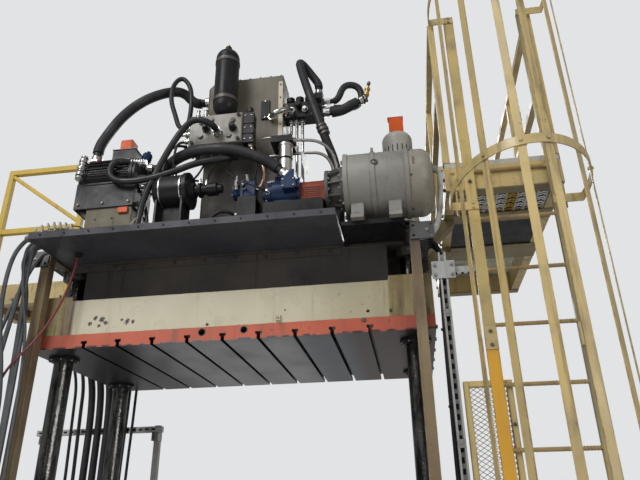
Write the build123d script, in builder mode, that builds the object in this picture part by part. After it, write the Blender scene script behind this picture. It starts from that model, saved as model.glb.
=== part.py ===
from build123d import *
from math import cos, radians, sin, tan
import os

os.makedirs("parts", exist_ok=True)

# Four-post hydraulic press. Millimetres, +Z up, origin on the floor midway between
# the four columns, front towards -Y.

# T-slots set the working width, and the columns stand outside it.
slot_count = 9
slot_pitch = 203.2
slot_throat = 20.6
slot_throat_depth = 24.0
slot_head = 36.5
slot_head_depth = 16.0
working_width = slot_count * slot_pitch
column_inset = 135.6
column_span_x = working_width + 2 * column_inset
column_span_y = 780.0
column_diameter = 110.0
column_chamfer = 5.0
column_stub = 30.0
column_radius = column_diameter / 2
column_x = column_span_x / 2
column_y = column_span_y / 2
curve_gap = 0.3

# Plan sizes of the platens, the bed box and the crown.
platen_side = 110.0
platen_front = 220.0
platen_width = column_span_x + 2 * platen_side
platen_depth = column_span_y + 2 * platen_front
box_inset = 125.0
box_front = 110.0
box_width = column_span_x - 2 * box_inset
box_depth = column_span_y + 2 * box_front
crown_side = 120.0
crown_plate_width = column_span_x + 2 * crown_side
crown_front = -box_depth / 2

# Column nuts.
nut_diameter = 170.0
nut_slots = 6
nut_slot_width = 18.0
nut_slot_depth = 9.0
nut_slot_overrun = 2.0
nut_chamfer = 4.0
bed_nut_height = 80.0
crown_lower_nut_height = 56.0
crown_upper_nut_height = 90.0

# Bed and bolster.
base_side = 90.0
base_thickness = 40.0
base_corner = 20.0
anchor_edge = 40.0
anchor_front_edge = 90.0
anchor_hole = 34.0
bed_top = 750.0
bed_plate = 60.0
gusset_thickness = 30.0
gusset_inner_y = 190.0
gusset_toe = 60.0
bolster_side = 5.6
bolster_thickness = 100.0

# Slide.
slide_raised = 2450.0
slide_plate = 80.0
slide_body_height = 206.0
slide_edge = 6.0
boss_width = 235.0
boss_depth = 340.0
boss_rise = 30.0
bush_wall = 12.0
bush_running_gap = 0.1
bush_flange_diameter = 176.0
bush_flange_height = 15.0
wiper_diameter = 148.0
wiper_height = 9.0
lift_hole = 36.0
lift_hole_depth = 60.0
lift_hole_span = 240.0
pin_hole = 18.0
pin_hole_depth = 30.0
latch_x = 316.0
latch_width = 26.0
latch_height = 34.0
latch_reach = 18.0

# Crown.
crown_clearance = 40.0
crown_box_height = 224.0
crown_plate = 40.0
slide_top = slide_raised + slide_plate + slide_body_height
crown_bottom = slide_top + crown_clearance
crown_underside = crown_bottom + crown_box_height
crown_top = crown_underside + crown_plate
column_bottom = bed_top - bed_plate - bed_nut_height - column_stub
column_top = crown_top + crown_upper_nut_height + column_stub

# Main cylinder and ram.
stroke = 1200.0
ram_diameter = 250.0
ram_flange_diameter = 400.0
ram_flange = 28.0
ram_engaged = 260.0
ram_running_gap = 0.3
ram_top_gap = 20.0
barrel_wall = 80.0
barrel_bore_gap = 10.0
barrel_cap = 60.0
barrel_flange_reach = 25.0
barrel_flange = 60.0
gland_height = 70.0
barrel_bore = ram_diameter + 2 * barrel_bore_gap
barrel_diameter = barrel_bore + 2 * barrel_wall

# Bed: base plate, closed centre box and top plate.
base_width = platen_width + 2 * base_side
anchor_span_x = base_width - 2 * anchor_edge
anchor_span_y = platen_depth - 2 * anchor_front_edge
bed_box_height = bed_top - bed_plate - base_thickness
with BuildPart() as bed:
    with BuildSketch():
        RectangleRounded(base_width, platen_depth, base_corner)
        with GridLocations(anchor_span_x, anchor_span_y, 2, 2):
            Circle(anchor_hole / 2, mode=Mode.SUBTRACT)
    extrude(amount=base_thickness)
    with BuildSketch(Plane.XY.offset(base_thickness)):
        Rectangle(box_width, box_depth)
    extrude(amount=bed_box_height)
    with BuildSketch(Plane.XY.offset(bed_top - bed_plate)):
        Rectangle(platen_width, platen_depth)
        with GridLocations(column_span_x, column_span_y, 2, 2):
            Circle(column_radius + curve_gap, mode=Mode.SUBTRACT)
    extrude(amount=bed_plate)
bed.part.label = "bed"
export_step(bed.part, "parts/bed.step")

# Bed gussets: upright plates between the base plate and the top plate, clear of the nuts.
gusset_reach = (platen_width - box_width) / 2
gusset_outer_y = platen_depth / 2 - gusset_thickness / 2
front_gusset_depth = (platen_depth - box_depth) / 2
with BuildPart() as bed_gussets:
    with BuildSketch(Plane.XY.offset(base_thickness)):
        with GridLocations(box_width + gusset_reach, 2 * gusset_outer_y, 2, 2):
            Rectangle(gusset_reach, gusset_thickness)
        with GridLocations(box_width + gusset_reach, 2 * gusset_inner_y, 2, 2):
            Rectangle(gusset_reach, gusset_thickness)
        with GridLocations(box_width / 2, box_depth + front_gusset_depth, 2, 2):
            Rectangle(gusset_thickness, front_gusset_depth)
    extrude(amount=bed_box_height)
bed_gussets.part.label = "bed_gussets"
export_step(bed_gussets.part, "parts/bed_gussets.step")

# Bolster: slotted plate between the columns.
bolster_width = working_width + 2 * bolster_side
with BuildPart() as bolster:
    with BuildSketch(Plane.XY.offset(bed_top)):
        Rectangle(bolster_width, platen_depth)
    extrude(amount=bolster_thickness)
    with BuildSketch(Plane.XZ.offset(platen_depth / 2)):
        with Locations((0, bed_top + bolster_thickness)):
            with GridLocations(slot_pitch, 0, slot_count, 1):
                Rectangle(slot_throat, slot_throat_depth + slot_head_depth, align=(Align.CENTER, Align.MAX))
        with Locations((0, bed_top + bolster_thickness - slot_throat_depth)):
            with GridLocations(slot_pitch, 0, slot_count, 1):
                Rectangle(slot_head, slot_head_depth, align=(Align.CENTER, Align.MAX))
    extrude(amount=-platen_depth, mode=Mode.SUBTRACT)
bolster.part.label = "bolster"
export_step(bolster.part, "parts/bolster.step")

# Columns: four ground bars with chamfered ends.
with BuildPart() as columns:
    with BuildSketch(Plane.XY.offset(column_bottom)):
        with GridLocations(column_span_x, column_span_y, 2, 2):
            Circle(column_radius)
    extrude(amount=column_top - column_bottom)
    chamfer(columns.edges().filter_by(GeomType.CIRCLE), length=column_chamfer)
columns.part.label = "columns"
export_step(columns.part, "parts/columns.step")

# Column nuts: slotted round nuts under and over the bed plate and the crown plate.
nut_levels = (
    (bed_top - bed_plate - bed_nut_height, bed_nut_height),
    (bed_top, bed_nut_height),
    (crown_underside - crown_lower_nut_height, crown_lower_nut_height),
    (crown_top, crown_upper_nut_height),
)
with BuildPart() as column_nuts:
    for nut_level, nut_height in nut_levels:
        with BuildSketch(Plane.XY.offset(nut_level)):
            with GridLocations(column_span_x, column_span_y, 2, 2):
                Circle(nut_diameter / 2)
        extrude(amount=nut_height)
    chamfer(column_nuts.edges().filter_by(GeomType.CIRCLE), length=nut_chamfer)
    for nut_level, nut_height in nut_levels:
        with BuildSketch(Plane.XY.offset(nut_level)):
            with GridLocations(column_span_x, column_span_y, 2, 2):
                Circle(column_radius + curve_gap)
                with PolarLocations(nut_diameter / 2 - nut_slot_depth / 2, nut_slots):
                    Rectangle(nut_slot_depth + nut_slot_overrun, nut_slot_width)
        extrude(amount=nut_height, mode=Mode.SUBTRACT)
column_nuts.part.label = "column_nuts"
export_step(column_nuts.part, "parts/column_nuts.step")

# Slide body: four corner bosses, bevelled upper edges, pin holes and the die latch.
slide_body_bottom = slide_raised + slide_plate
bush_outer = column_radius + bush_running_gap + bush_wall
latch_bottom = slide_body_bottom + slide_edge
pin_holes = ((-92.0, slide_body_bottom + 14.0), (806.0, slide_body_bottom + 36.0))
with BuildPart() as slide_body:
    with BuildSketch(Plane.XY.offset(slide_body_bottom)):
        Rectangle(platen_width, platen_depth)
    extrude(amount=slide_body_height)
    with BuildSketch(Plane.XY.offset(slide_top)):
        with GridLocations(platen_width - boss_width, platen_depth - boss_depth, 2, 2):
            Rectangle(boss_width, boss_depth)
    extrude(amount=boss_rise)
    chamfer(slide_body.faces().sort_by(Axis.Z)[-4:].edges(), length=slide_edge)
    with BuildSketch(Plane.XY.offset(slide_body_bottom)):
        with GridLocations(column_span_x, column_span_y, 2, 2):
            Circle(bush_outer + curve_gap)
    extrude(amount=slide_body_height + boss_rise, mode=Mode.SUBTRACT)
    with BuildSketch(Plane.XZ.offset(platen_depth / 2)):
        with Locations(*pin_holes):
            Circle(pin_hole / 2)
    extrude(amount=-pin_hole_depth, mode=Mode.SUBTRACT)
    with BuildSketch(Plane.XZ.offset(platen_depth / 2)):
        with Locations((latch_x, latch_bottom)):
            Rectangle(latch_width, latch_height, align=(Align.CENTER, Align.MIN))
    extrude(amount=latch_reach, taper=12)
slide_body.part.label = "slide_body"
export_step(slide_body.part, "parts/slide_body.step")

# Slotted face plate under the slide, with lifting holes in its front edge.
with BuildPart() as slide_face:
    with BuildSketch(Plane.XY.offset(slide_raised)):
        Rectangle(platen_width, platen_depth)
        with GridLocations(column_span_x, column_span_y, 2, 2):
            Circle(bush_outer + curve_gap, mode=Mode.SUBTRACT)
    extrude(amount=slide_plate)
    with BuildSketch(Plane.XZ.offset(platen_depth / 2)):
        with Locations((0, slide_raised)):
            with GridLocations(slot_pitch, 0, slot_count, 1):
                Rectangle(slot_throat, slot_throat_depth + slot_head_depth, align=(Align.CENTER, Align.MIN))
        with Locations((0, slide_raised + slot_throat_depth)):
            with GridLocations(slot_pitch, 0, slot_count, 1):
                Rectangle(slot_head, slot_head_depth, align=(Align.CENTER, Align.MIN))
    extrude(amount=-platen_depth, mode=Mode.SUBTRACT)
    with BuildSketch(Plane.XZ.offset(platen_depth / 2)):
        with Locations((0, slide_raised + (slide_plate + slot_throat_depth) / 2)):
            with GridLocations(lift_hole_span, 0, 2, 1):
                Circle(lift_hole / 2)
    extrude(amount=-lift_hole_depth, mode=Mode.SUBTRACT)
slide_face.part.label = "slide_face"
export_step(slide_face.part, "parts/slide_face.step")

# Guide bushes: sleeves round the columns, each with a bolted flange and a wiper ring.
bush_top = slide_top + boss_rise
with BuildPart() as bushes:
    with BuildSketch(Plane.XY.offset(slide_raised - bush_flange_height)):
        with GridLocations(column_span_x, column_span_y, 2, 2):
            Circle(bush_flange_diameter / 2)
    extrude(amount=bush_flange_height)
    with BuildSketch(Plane.XY.offset(slide_raised - bush_flange_height)):
        with GridLocations(column_span_x, column_span_y, 2, 2):
            Circle(wiper_diameter / 2)
    extrude(amount=-wiper_height, taper=20)
    with BuildSketch(Plane.XY.offset(slide_raised)):
        with GridLocations(column_span_x, column_span_y, 2, 2):
            Circle(bush_outer)
    extrude(amount=bush_top - slide_raised)
    with BuildSketch(Plane.XY.offset(slide_raised - bush_flange_height - wiper_height)):
        with GridLocations(column_span_x, column_span_y, 2, 2):
            Circle(column_radius + bush_running_gap)
    extrude(amount=bush_top - slide_raised + bush_flange_height + wiper_height, mode=Mode.SUBTRACT)
bushes.part.label = "guide_bushes"
export_step(bushes.part, "parts/guide_bushes.step")

# Ram: flange bolted to the slide and a ground rod that runs up into the barrel.
ram_top = slide_top + stroke + ram_engaged
with BuildPart() as ram:
    with BuildSketch(Plane.XY.offset(slide_top)):
        Circle(ram_flange_diameter / 2)
    extrude(amount=ram_flange)
    with BuildSketch(Plane.XY.offset(slide_top + ram_flange)):
        Circle(ram_diameter / 2)
    extrude(amount=ram_top - slide_top - ram_flange)
    chamfer(ram.faces().sort_by(Axis.Z)[-1].edges(), length=column_chamfer)
ram.part.label = "ram"
export_step(ram.part, "parts/ram.step")

# Main cylinder: barrel through the crown, its mounting flange on the crown plate and a head.
barrel_top = ram_top + ram_top_gap + barrel_cap
barrel_flange_radius = barrel_diameter / 2 + barrel_flange_reach
with BuildPart() as barrel:
    with BuildSketch(Plane.XY.offset(crown_bottom)):
        Circle(barrel_diameter / 2)
    extrude(amount=barrel_top - crown_bottom)
    with BuildSketch(Plane.XY.offset(crown_top)):
        Circle(barrel_flange_radius)
    extrude(amount=barrel_flange)
    with BuildSketch(Plane.XY.offset(barrel_top)):
        Circle(barrel_flange_radius)
    extrude(amount=-barrel_cap)
    with BuildSketch(Plane.XY.offset(crown_bottom)):
        Circle(ram_diameter / 2 + ram_running_gap)
    extrude(amount=gland_height, mode=Mode.SUBTRACT)
    with BuildSketch(Plane.XY.offset(crown_bottom + gland_height)):
        Circle(barrel_bore / 2)
    extrude(amount=barrel_top - barrel_cap - crown_bottom - gland_height, mode=Mode.SUBTRACT)
barrel.part.label = "main_cylinder"
export_step(barrel.part, "parts/main_cylinder.step")

# Crown: deep centre box between the columns under a plate with corner lugs.
with BuildPart() as crown:
    with BuildSketch(Plane.XY.offset(crown_bottom)):
        Rectangle(box_width, box_depth)
        Circle(barrel_diameter / 2 + curve_gap, mode=Mode.SUBTRACT)
    extrude(amount=crown_box_height)
    with BuildSketch(Plane.XY.offset(crown_underside)):
        Rectangle(crown_plate_width, box_depth)
        Circle(barrel_diameter / 2 + curve_gap, mode=Mode.SUBTRACT)
        with GridLocations(column_span_x, column_span_y, 2, 2):
            Circle(column_radius + curve_gap, mode=Mode.SUBTRACT)
    extrude(amount=crown_plate)
crown.part.label = "crown"
export_step(crown.part, "parts/crown.step")

# Crown gussets: tapered webs under the plate ends, between the nuts.
crown_gusset_reach = (crown_plate_width - box_width) / 2
with BuildPart() as crown_gussets:
    for side in (-1, 1):
        for gusset_y in (-gusset_inner_y, gusset_inner_y):
            with BuildSketch(Plane.XZ.offset(gusset_thickness / 2 - gusset_y)):
                with BuildLine():
                    Polyline(
                        (side * box_width / 2, crown_bottom),
                        (side * (box_width / 2 + gusset_toe), crown_bottom),
                        (side * (box_width / 2 + crown_gusset_reach), crown_underside - gusset_toe),
                        (side * (box_width / 2 + crown_gusset_reach), crown_underside),
                        (side * box_width / 2, crown_underside),
                        close=True,
                    )
                make_face()
            extrude(amount=-gusset_thickness)
crown_gussets.part.label = "crown_gussets"
export_step(crown_gussets.part, "parts/crown_gussets.step")

# Deck tray in front of the crown: floor plate with an upright lip on three sides.
tray_overhang = 10.0
tray_right = 680.0
tray_reach = 435.0
tray_floor = 10.0
tray_lip_wall = 10.0
tray_left = -column_x - tray_overhang
tray_front = crown_front - tray_reach
tray_floor_top = crown_underside + tray_floor
with BuildPart() as tray:
    with BuildSketch(Plane.XY.offset(crown_underside)):
        with Locations((tray_left, tray_front)):
            Rectangle(tray_right - tray_left, tray_reach, align=(Align.MIN, Align.MIN))
    extrude(amount=crown_plate)
    with BuildSketch(Plane.XY.offset(tray_floor_top)):
        with Locations((tray_left + tray_lip_wall, tray_front + tray_lip_wall)):
            Rectangle(
                tray_right - tray_left - 2 * tray_lip_wall,
                tray_reach - tray_lip_wall,
                align=(Align.MIN, Align.MIN),
            )
    extrude(amount=crown_plate - tray_floor, mode=Mode.SUBTRACT)
tray.part.label = "deck_tray"
export_step(tray.part, "parts/deck_tray.step")

# Base plate of the main motor, carried on the front edge of the crown by two webs.
motor_axis_y = crown_front - 140.0
motor_axis_z = crown_top + 270.0
motor_base_left = 690.0
motor_base_right = 1040.0
motor_base_reach = 260.0
motor_base_plate = 24.0
motor_base_web = 16.0
motor_base_front = crown_front - motor_base_reach
with BuildPart() as motor_base:
    with BuildSketch(Plane.XY.offset(crown_top - motor_base_plate)):
        with Locations((motor_base_left, motor_base_front)):
            Rectangle(motor_base_right - motor_base_left, motor_base_reach, align=(Align.MIN, Align.MIN))
    extrude(amount=motor_base_plate)
    for web_x in (motor_base_left, motor_base_right - motor_base_web):
        with BuildSketch(Plane.YZ.offset(web_x)):
            with BuildLine():
                Polyline(
                    (crown_front, crown_top - motor_base_plate),
                    (motor_base_front + gusset_toe, crown_top - motor_base_plate),
                    (crown_front, crown_underside),
                    close=True,
                )
            make_face()
        extrude(amount=motor_base_web)
motor_base.part.label = "motor_base"
export_step(motor_base.part, "parts/motor_base.step")

# Main motor: stator shell between raised bands, two pairs of feet and a lifting eye.
motor_radius = 205.0
motor_shell_recess = 6.0
motor_left = 715.0
motor_right = 1085.0
motor_band = 26.0
motor_seam_x = 870.0
motor_foot_width = 90.0
motor_foot_length = 70.0
motor_foot_thickness = 22.0
motor_foot_span_x = 210.0
motor_foot_span_y = 236.0
motor_foot_edge = 10.0
eye_angle = 30.0
eye_radius = 24.0
eye_hole = 22.0
eye_thickness = 14.0
motor_axis = Axis((0, motor_axis_y, motor_axis_z), (1, 0, 0))
motor_foot_x = motor_base_right - motor_foot_edge - motor_foot_length / 2 - motor_foot_span_x / 2
with BuildPart() as motor:
    with BuildSketch(Plane.YZ.offset(motor_left)):
        with Locations((motor_axis_y, motor_axis_z)):
            Circle(motor_radius - motor_shell_recess)
    extrude(amount=motor_right - motor_left)
    for band_x in (motor_left, motor_seam_x, motor_right - motor_band):
        with BuildSketch(Plane.YZ.offset(band_x)):
            with Locations((motor_axis_y, motor_axis_z)):
                Circle(motor_radius)
        extrude(amount=motor_band)
    with BuildSketch(Plane.XY.offset(crown_top)):
        with Locations((motor_foot_x, motor_axis_y)):
            with GridLocations(motor_foot_span_x, motor_foot_span_y, 2, 2):
                Rectangle(motor_foot_length, motor_foot_width)
    extrude(amount=motor_foot_thickness)
    with BuildSketch(Plane.XY.offset(crown_top)):
        with Locations((motor_foot_x, motor_axis_y)):
            with GridLocations(motor_foot_span_x, motor_foot_span_y - motor_foot_width / 2, 2, 2):
                Rectangle(motor_foot_length, motor_foot_width / 2)
    extrude(amount=motor_axis_z - crown_top - motor_radius / 2)
    eye_y = motor_axis_y - motor_radius * sin(radians(eye_angle))
    eye_z = motor_axis_z + motor_radius * cos(radians(eye_angle))
    with BuildSketch(Plane.YZ.offset(motor_seam_x + (motor_band - eye_thickness) / 2)):
        with Locations((eye_y, eye_z)):
            Circle(eye_radius)
    extrude(amount=eye_thickness)
    with BuildSketch(Plane.YZ.offset(motor_seam_x)):
        with Locations((eye_y - eye_radius / 4, eye_z + eye_radius / 4)):
            Circle(eye_hole / 2)
    extrude(amount=motor_band, mode=Mode.SUBTRACT)
motor.part.label = "main_motor"
export_step(motor.part, "parts/main_motor.step")

# Fan cover: drawn shell with a large corner radius on the end of the motor.
fan_cover_length = 130.0
fan_cover_step = 7.0
fan_cover_corner = 70.0
fan_cover_radius = motor_radius - fan_cover_step
fan_cover_end = motor_right + fan_cover_length
with BuildPart() as fan_cover:
    with BuildSketch(Plane.YZ.offset(motor_right)):
        with Locations((motor_axis_y, motor_axis_z)):
            Circle(fan_cover_radius)
    extrude(amount=fan_cover_length)
    fillet(fan_cover.faces().sort_by(Axis.X)[-1].edges(), radius=fan_cover_corner)
fan_cover.part.label = "motor_fan_cover"
export_step(fan_cover.part, "parts/motor_fan_cover.step")

# Bell housing: flanged cone between the motor and the coupling.
bell_radius = 135.0
bell_length = 115.0
bell_flange = 24.0
bell_rear_flange = 20.0
bell_neck = 25.0
bell_step = 15.0
bell_left = motor_left - bell_length
with BuildPart() as bell:
    with BuildSketch(Plane.XY.offset(motor_axis_z)):
        with BuildLine():
            Polyline(
                (bell_left, motor_axis_y),
                (bell_left, motor_axis_y + bell_radius - bell_step),
                (bell_left + bell_rear_flange, motor_axis_y + bell_radius - bell_step),
                (bell_left + bell_rear_flange, motor_axis_y + bell_radius - 2 * bell_neck),
                (motor_left - bell_flange, motor_axis_y + bell_radius - bell_neck),
                (motor_left - bell_flange, motor_axis_y + bell_radius),
                (motor_left, motor_axis_y + bell_radius),
                (motor_left, motor_axis_y),
                close=True,
            )
        make_face()
    revolve(axis=motor_axis)
bell.part.label = "bell_housing"
export_step(bell.part, "parts/bell_housing.step")

# Pump base: inverted channel under the pump and a shorter one under the gear pump.
pump_radius = 85.0
pump_left = 250.0
pump_flange_radius = 95.0
pump_flange = 18.0
pump_cover_radius = 72.0
pump_cover = 36.0
pump_clearance = 10.0
pump_foot = 110.0
guard_left = 455.0
guard_width = 130.0
pump_base_left = 240.0
pump_base_right = 590.0
pump_base_width = 200.0
pump_base_wall = 10.0
pump_base_top = motor_axis_z - pump_radius - pump_clearance
gear_pump_x = 130.0
gear_stand_width = 120.0
gear_stand_length = 110.0
gear_stand_rise = 75.0
gear_stand_top = pump_base_top + gear_stand_rise
with BuildPart() as pump_base:
    with BuildSketch(Plane.YZ.offset(pump_base_left)):
        with Locations((motor_axis_y, tray_floor_top)):
            Rectangle(pump_base_width, pump_base_top - tray_floor_top, align=(Align.CENTER, Align.MIN))
            Rectangle(
                pump_base_width - 2 * pump_base_wall,
                pump_base_top - tray_floor_top - pump_base_wall,
                align=(Align.CENTER, Align.MIN),
                mode=Mode.SUBTRACT,
            )
    extrude(amount=pump_base_right - pump_base_left)
    with BuildSketch(Plane.YZ.offset(gear_pump_x - gear_stand_length / 2)):
        with Locations((motor_axis_y, tray_floor_top)):
            Rectangle(gear_stand_width, gear_stand_top - tray_floor_top, align=(Align.CENTER, Align.MIN))
            Rectangle(
                gear_stand_width - 2 * pump_base_wall,
                gear_stand_top - tray_floor_top - pump_base_wall,
                align=(Align.CENTER, Align.MIN),
                mode=Mode.SUBTRACT,
            )
    extrude(amount=gear_stand_length)
pump_base.part.label = "pump_base"
export_step(pump_base.part, "parts/pump_base.step")

# Coupling guard: arched cover between the pump and the bell housing.
with BuildPart() as guard:
    with BuildSketch(Plane.YZ.offset(guard_left)):
        with Locations((motor_axis_y, pump_base_top)):
            Rectangle(guard_width, motor_axis_z - pump_base_top, align=(Align.CENTER, Align.MIN))
        with Locations((motor_axis_y, motor_axis_z)):
            Circle(guard_width / 2)
    extrude(amount=bell_left - guard_left)
guard.part.label = "coupling_guard"
export_step(guard.part, "parts/coupling_guard.step")

# Main pump: flanged body with a smaller rear cover, a foot and a suction boss at the front.
suction_boss = 70.0
suction_x = 395.0
suction_rise = 90.0
suction_slope = 50.0
suction_drop = 35.0
suction_y = motor_axis_y - 100.0
suction_front = suction_y - suction_boss / 2
suction_top = motor_axis_z + suction_rise
with BuildPart() as pump:
    with BuildSketch(Plane.XY.offset(motor_axis_z)):
        with BuildLine():
            Polyline(
                (pump_left, motor_axis_y),
                (pump_left, motor_axis_y + pump_cover_radius),
                (pump_left + pump_cover, motor_axis_y + pump_cover_radius),
                (pump_left + pump_cover, motor_axis_y + pump_radius),
                (guard_left - pump_flange, motor_axis_y + pump_radius),
                (guard_left - pump_flange, motor_axis_y + pump_flange_radius),
                (guard_left, motor_axis_y + pump_flange_radius),
                (guard_left, motor_axis_y),
                close=True,
            )
        make_face()
    revolve(axis=motor_axis)
    with BuildSketch(Plane.XY.offset(pump_base_top)):
        with Locations(((pump_left + guard_left) / 2, motor_axis_y)):
            Rectangle(pump_foot, pump_foot)
    extrude(amount=motor_axis_z - pump_base_top)
    with BuildSketch(Plane.XY.offset(motor_axis_z - suction_drop)):
        with Locations((suction_x, suction_front)):
            Rectangle(suction_boss, motor_axis_y - suction_front, align=(Align.CENTER, Align.MIN))
    extrude(amount=suction_drop + suction_rise)
    upper_left = pump.edges().filter_by_position(Axis.Z, suction_top - 1, suction_top + 1)
    chamfer(upper_left.filter_by(Axis.Y).sort_by(Axis.X)[0], length=suction_slope)
pump.part.label = "main_pump"
export_step(pump.part, "parts/main_pump.step")

# Tall tank box on the front of the crown, with one bevelled upper edge.
tank_left = -232.0
tank_right = 294.0
tank_setback = 20.0
tank_depth = 220.0
tank_height = 1310.0
tank_bevel = 50.0
tank_corner = 10.0
tank_front = crown_front + tank_setback
tank_top = crown_top + tank_height
with BuildPart() as tank:
    with BuildSketch(Plane.XY.offset(crown_top)):
        with Locations(((tank_left + tank_right) / 2, tank_front + tank_depth / 2)):
            RectangleRounded(tank_right - tank_left, tank_depth, tank_corner)
    extrude(amount=tank_height)
    with BuildSketch(Plane.XZ.offset(-tank_front)):
        with BuildLine():
            Polyline(
                (tank_left, tank_top),
                (tank_left + tank_bevel, tank_top),
                (tank_left, tank_top - tank_bevel),
                close=True,
            )
        make_face()
    extrude(amount=-tank_depth, mode=Mode.SUBTRACT)
tank.part.label = "tank"
export_step(tank.part, "parts/tank.step")

# Manifold block on the front of the tank.
manifold_left = -268.0
manifold_right = 78.0
manifold_depth = 210.0
manifold_level = 650.0
manifold_height = 225.0
manifold_edge = 6.0
manifold_front = tank_front - manifold_depth
manifold_bottom = crown_top + manifold_level
manifold_top = manifold_bottom + manifold_height
with BuildPart() as manifold:
    with BuildSketch(Plane.XY.offset(manifold_bottom)):
        with Locations((manifold_left, manifold_front)):
            Rectangle(manifold_right - manifold_left, manifold_depth, align=(Align.MIN, Align.MIN))
    extrude(amount=manifold_height)
    chamfer(manifold.faces().sort_by(Axis.Y)[0].edges(), length=manifold_edge)
manifold.part.label = "manifold"
export_step(manifold.part, "parts/manifold.step")

# Accumulator: forged bottle standing on the manifold, with a gas valve guard on top.
accumulator_x = -70.0
accumulator_y = tank_front - 120.0
accumulator_radius = 80.0
accumulator_neck = 30.0
accumulator_neck_height = 40.0
accumulator_height = 625.0
accumulator_cap = 22.0
accumulator_cap_height = 30.0
dome_share = 0.6
dome_rise = 0.8
accumulator_top = manifold_top + accumulator_height
with BuildPart() as accumulator:
    with BuildSketch(Plane.XZ.offset(-accumulator_y)):
        with BuildLine():
            dome_low = manifold_top + accumulator_neck_height + accumulator_radius
            dome_high = accumulator_top - accumulator_cap_height - accumulator_radius
            neck_end = dome_low - (accumulator_radius**2 - accumulator_neck**2) ** 0.5
            cap_start = dome_high + (accumulator_radius**2 - accumulator_cap**2) ** 0.5
            Polyline(
                (accumulator_x, accumulator_top),
                (accumulator_x, manifold_top),
                (accumulator_x + accumulator_neck, manifold_top),
                (accumulator_x + accumulator_neck, neck_end),
            )
            ThreePointArc(
                (accumulator_x + accumulator_neck, neck_end),
                (accumulator_x + accumulator_radius * dome_rise, dome_low - accumulator_radius * dome_share),
                (accumulator_x + accumulator_radius, dome_low),
            )
            Line((accumulator_x + accumulator_radius, dome_low), (accumulator_x + accumulator_radius, dome_high))
            ThreePointArc(
                (accumulator_x + accumulator_radius, dome_high),
                (accumulator_x + accumulator_radius * dome_rise, dome_high + accumulator_radius * dome_share),
                (accumulator_x + accumulator_cap, cap_start),
            )
            Polyline(
                (accumulator_x + accumulator_cap, cap_start),
                (accumulator_x + accumulator_cap, accumulator_top),
                (accumulator_x, accumulator_top),
            )
        make_face()
    revolve(axis=Axis((accumulator_x, accumulator_y, 0), (0, 0, 1)))
accumulator.part.label = "accumulator"
export_step(accumulator.part, "parts/accumulator.step")

# Valve stack: alternating wide and narrow modules with a coil and its nut on top.
stack_width = 70.0
stack_waist = 60.0
stack_x = manifold_right + stack_width / 2
stack_y = manifold_front + 50.0
coil_radius = 24.0
coil_height = 48.0
coil_nut = 15.0
coil_nut_height = 12.0
stack_modules = ((0.0, 0.24, stack_width), (0.24, 0.30, stack_waist), (0.30, 0.58, stack_width))
stack_modules += ((0.58, 0.64, stack_waist), (0.64, 1.0, stack_width))
with BuildPart() as valve_stack:
    for low_share, high_share, module_width in stack_modules:
        with BuildSketch(Plane.XY.offset(manifold_bottom + low_share * manifold_height)):
            with Locations((manifold_right, stack_y)):
                Rectangle(module_width, module_width, align=(Align.MIN, Align.CENTER))
        extrude(amount=(high_share - low_share) * manifold_height)
    with BuildSketch(Plane.XY.offset(manifold_top)):
        with Locations((stack_x, stack_y)):
            Circle(coil_radius)
    extrude(amount=coil_height)
    with BuildSketch(Plane.XY.offset(manifold_top + coil_height)):
        with Locations((stack_x, stack_y)):
            RegularPolygon(coil_nut, 6)
    extrude(amount=coil_nut_height)
valve_stack.part.label = "valve_stack"
export_step(valve_stack.part, "parts/valve_stack.step")

# Side valves: a long body on the tank's side, three coils and an end block with two ports.
side_valve_level = 970.0
side_valve_length = 206.0
side_valve_depth = 100.0
side_valve_body = 120.0
side_block = 60.0
side_block_height = 185.0
side_coil_radius = 29.0
side_coil_height = 66.0
side_coil_pitch = 64.0
side_coil_count = 3
side_valve_y = tank_front + 80.0
side_valve_bottom = crown_top + side_valve_level
side_valve_top = side_valve_bottom + side_valve_body
side_valve_right = tank_right + side_valve_length + side_block
with BuildPart() as side_valve:
    with BuildSketch(Plane.XY.offset(side_valve_bottom)):
        with Locations((tank_right, side_valve_y)):
            Rectangle(side_valve_length, side_valve_depth, align=(Align.MIN, Align.CENTER))
    extrude(amount=side_valve_body)
    with BuildSketch(Plane.XY.offset(side_valve_bottom)):
        with Locations((tank_right + side_valve_length, side_valve_y)):
            Rectangle(side_block, side_valve_depth, align=(Align.MIN, Align.CENTER))
    extrude(amount=side_block_height)
    chamfer(side_valve.edges().filter_by(Axis.Y), length=manifold_edge)
    with BuildSketch(Plane.XY.offset(side_valve_top)):
        with Locations((tank_right + side_valve_length / 2, side_valve_y)):
            with GridLocations(side_coil_pitch, 0, side_coil_count, 1):
                Circle(side_coil_radius)
    extrude(amount=side_coil_height)
    with BuildSketch(Plane.XY.offset(side_valve_top + side_coil_height)):
        with Locations((tank_right + side_valve_length / 2, side_valve_y)):
            with GridLocations(side_coil_pitch, 0, side_coil_count, 1):
                RegularPolygon(coil_nut, 6)
    extrude(amount=coil_nut_height)
side_valve.part.label = "side_valves"
export_step(side_valve.part, "parts/side_valves.step")

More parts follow.
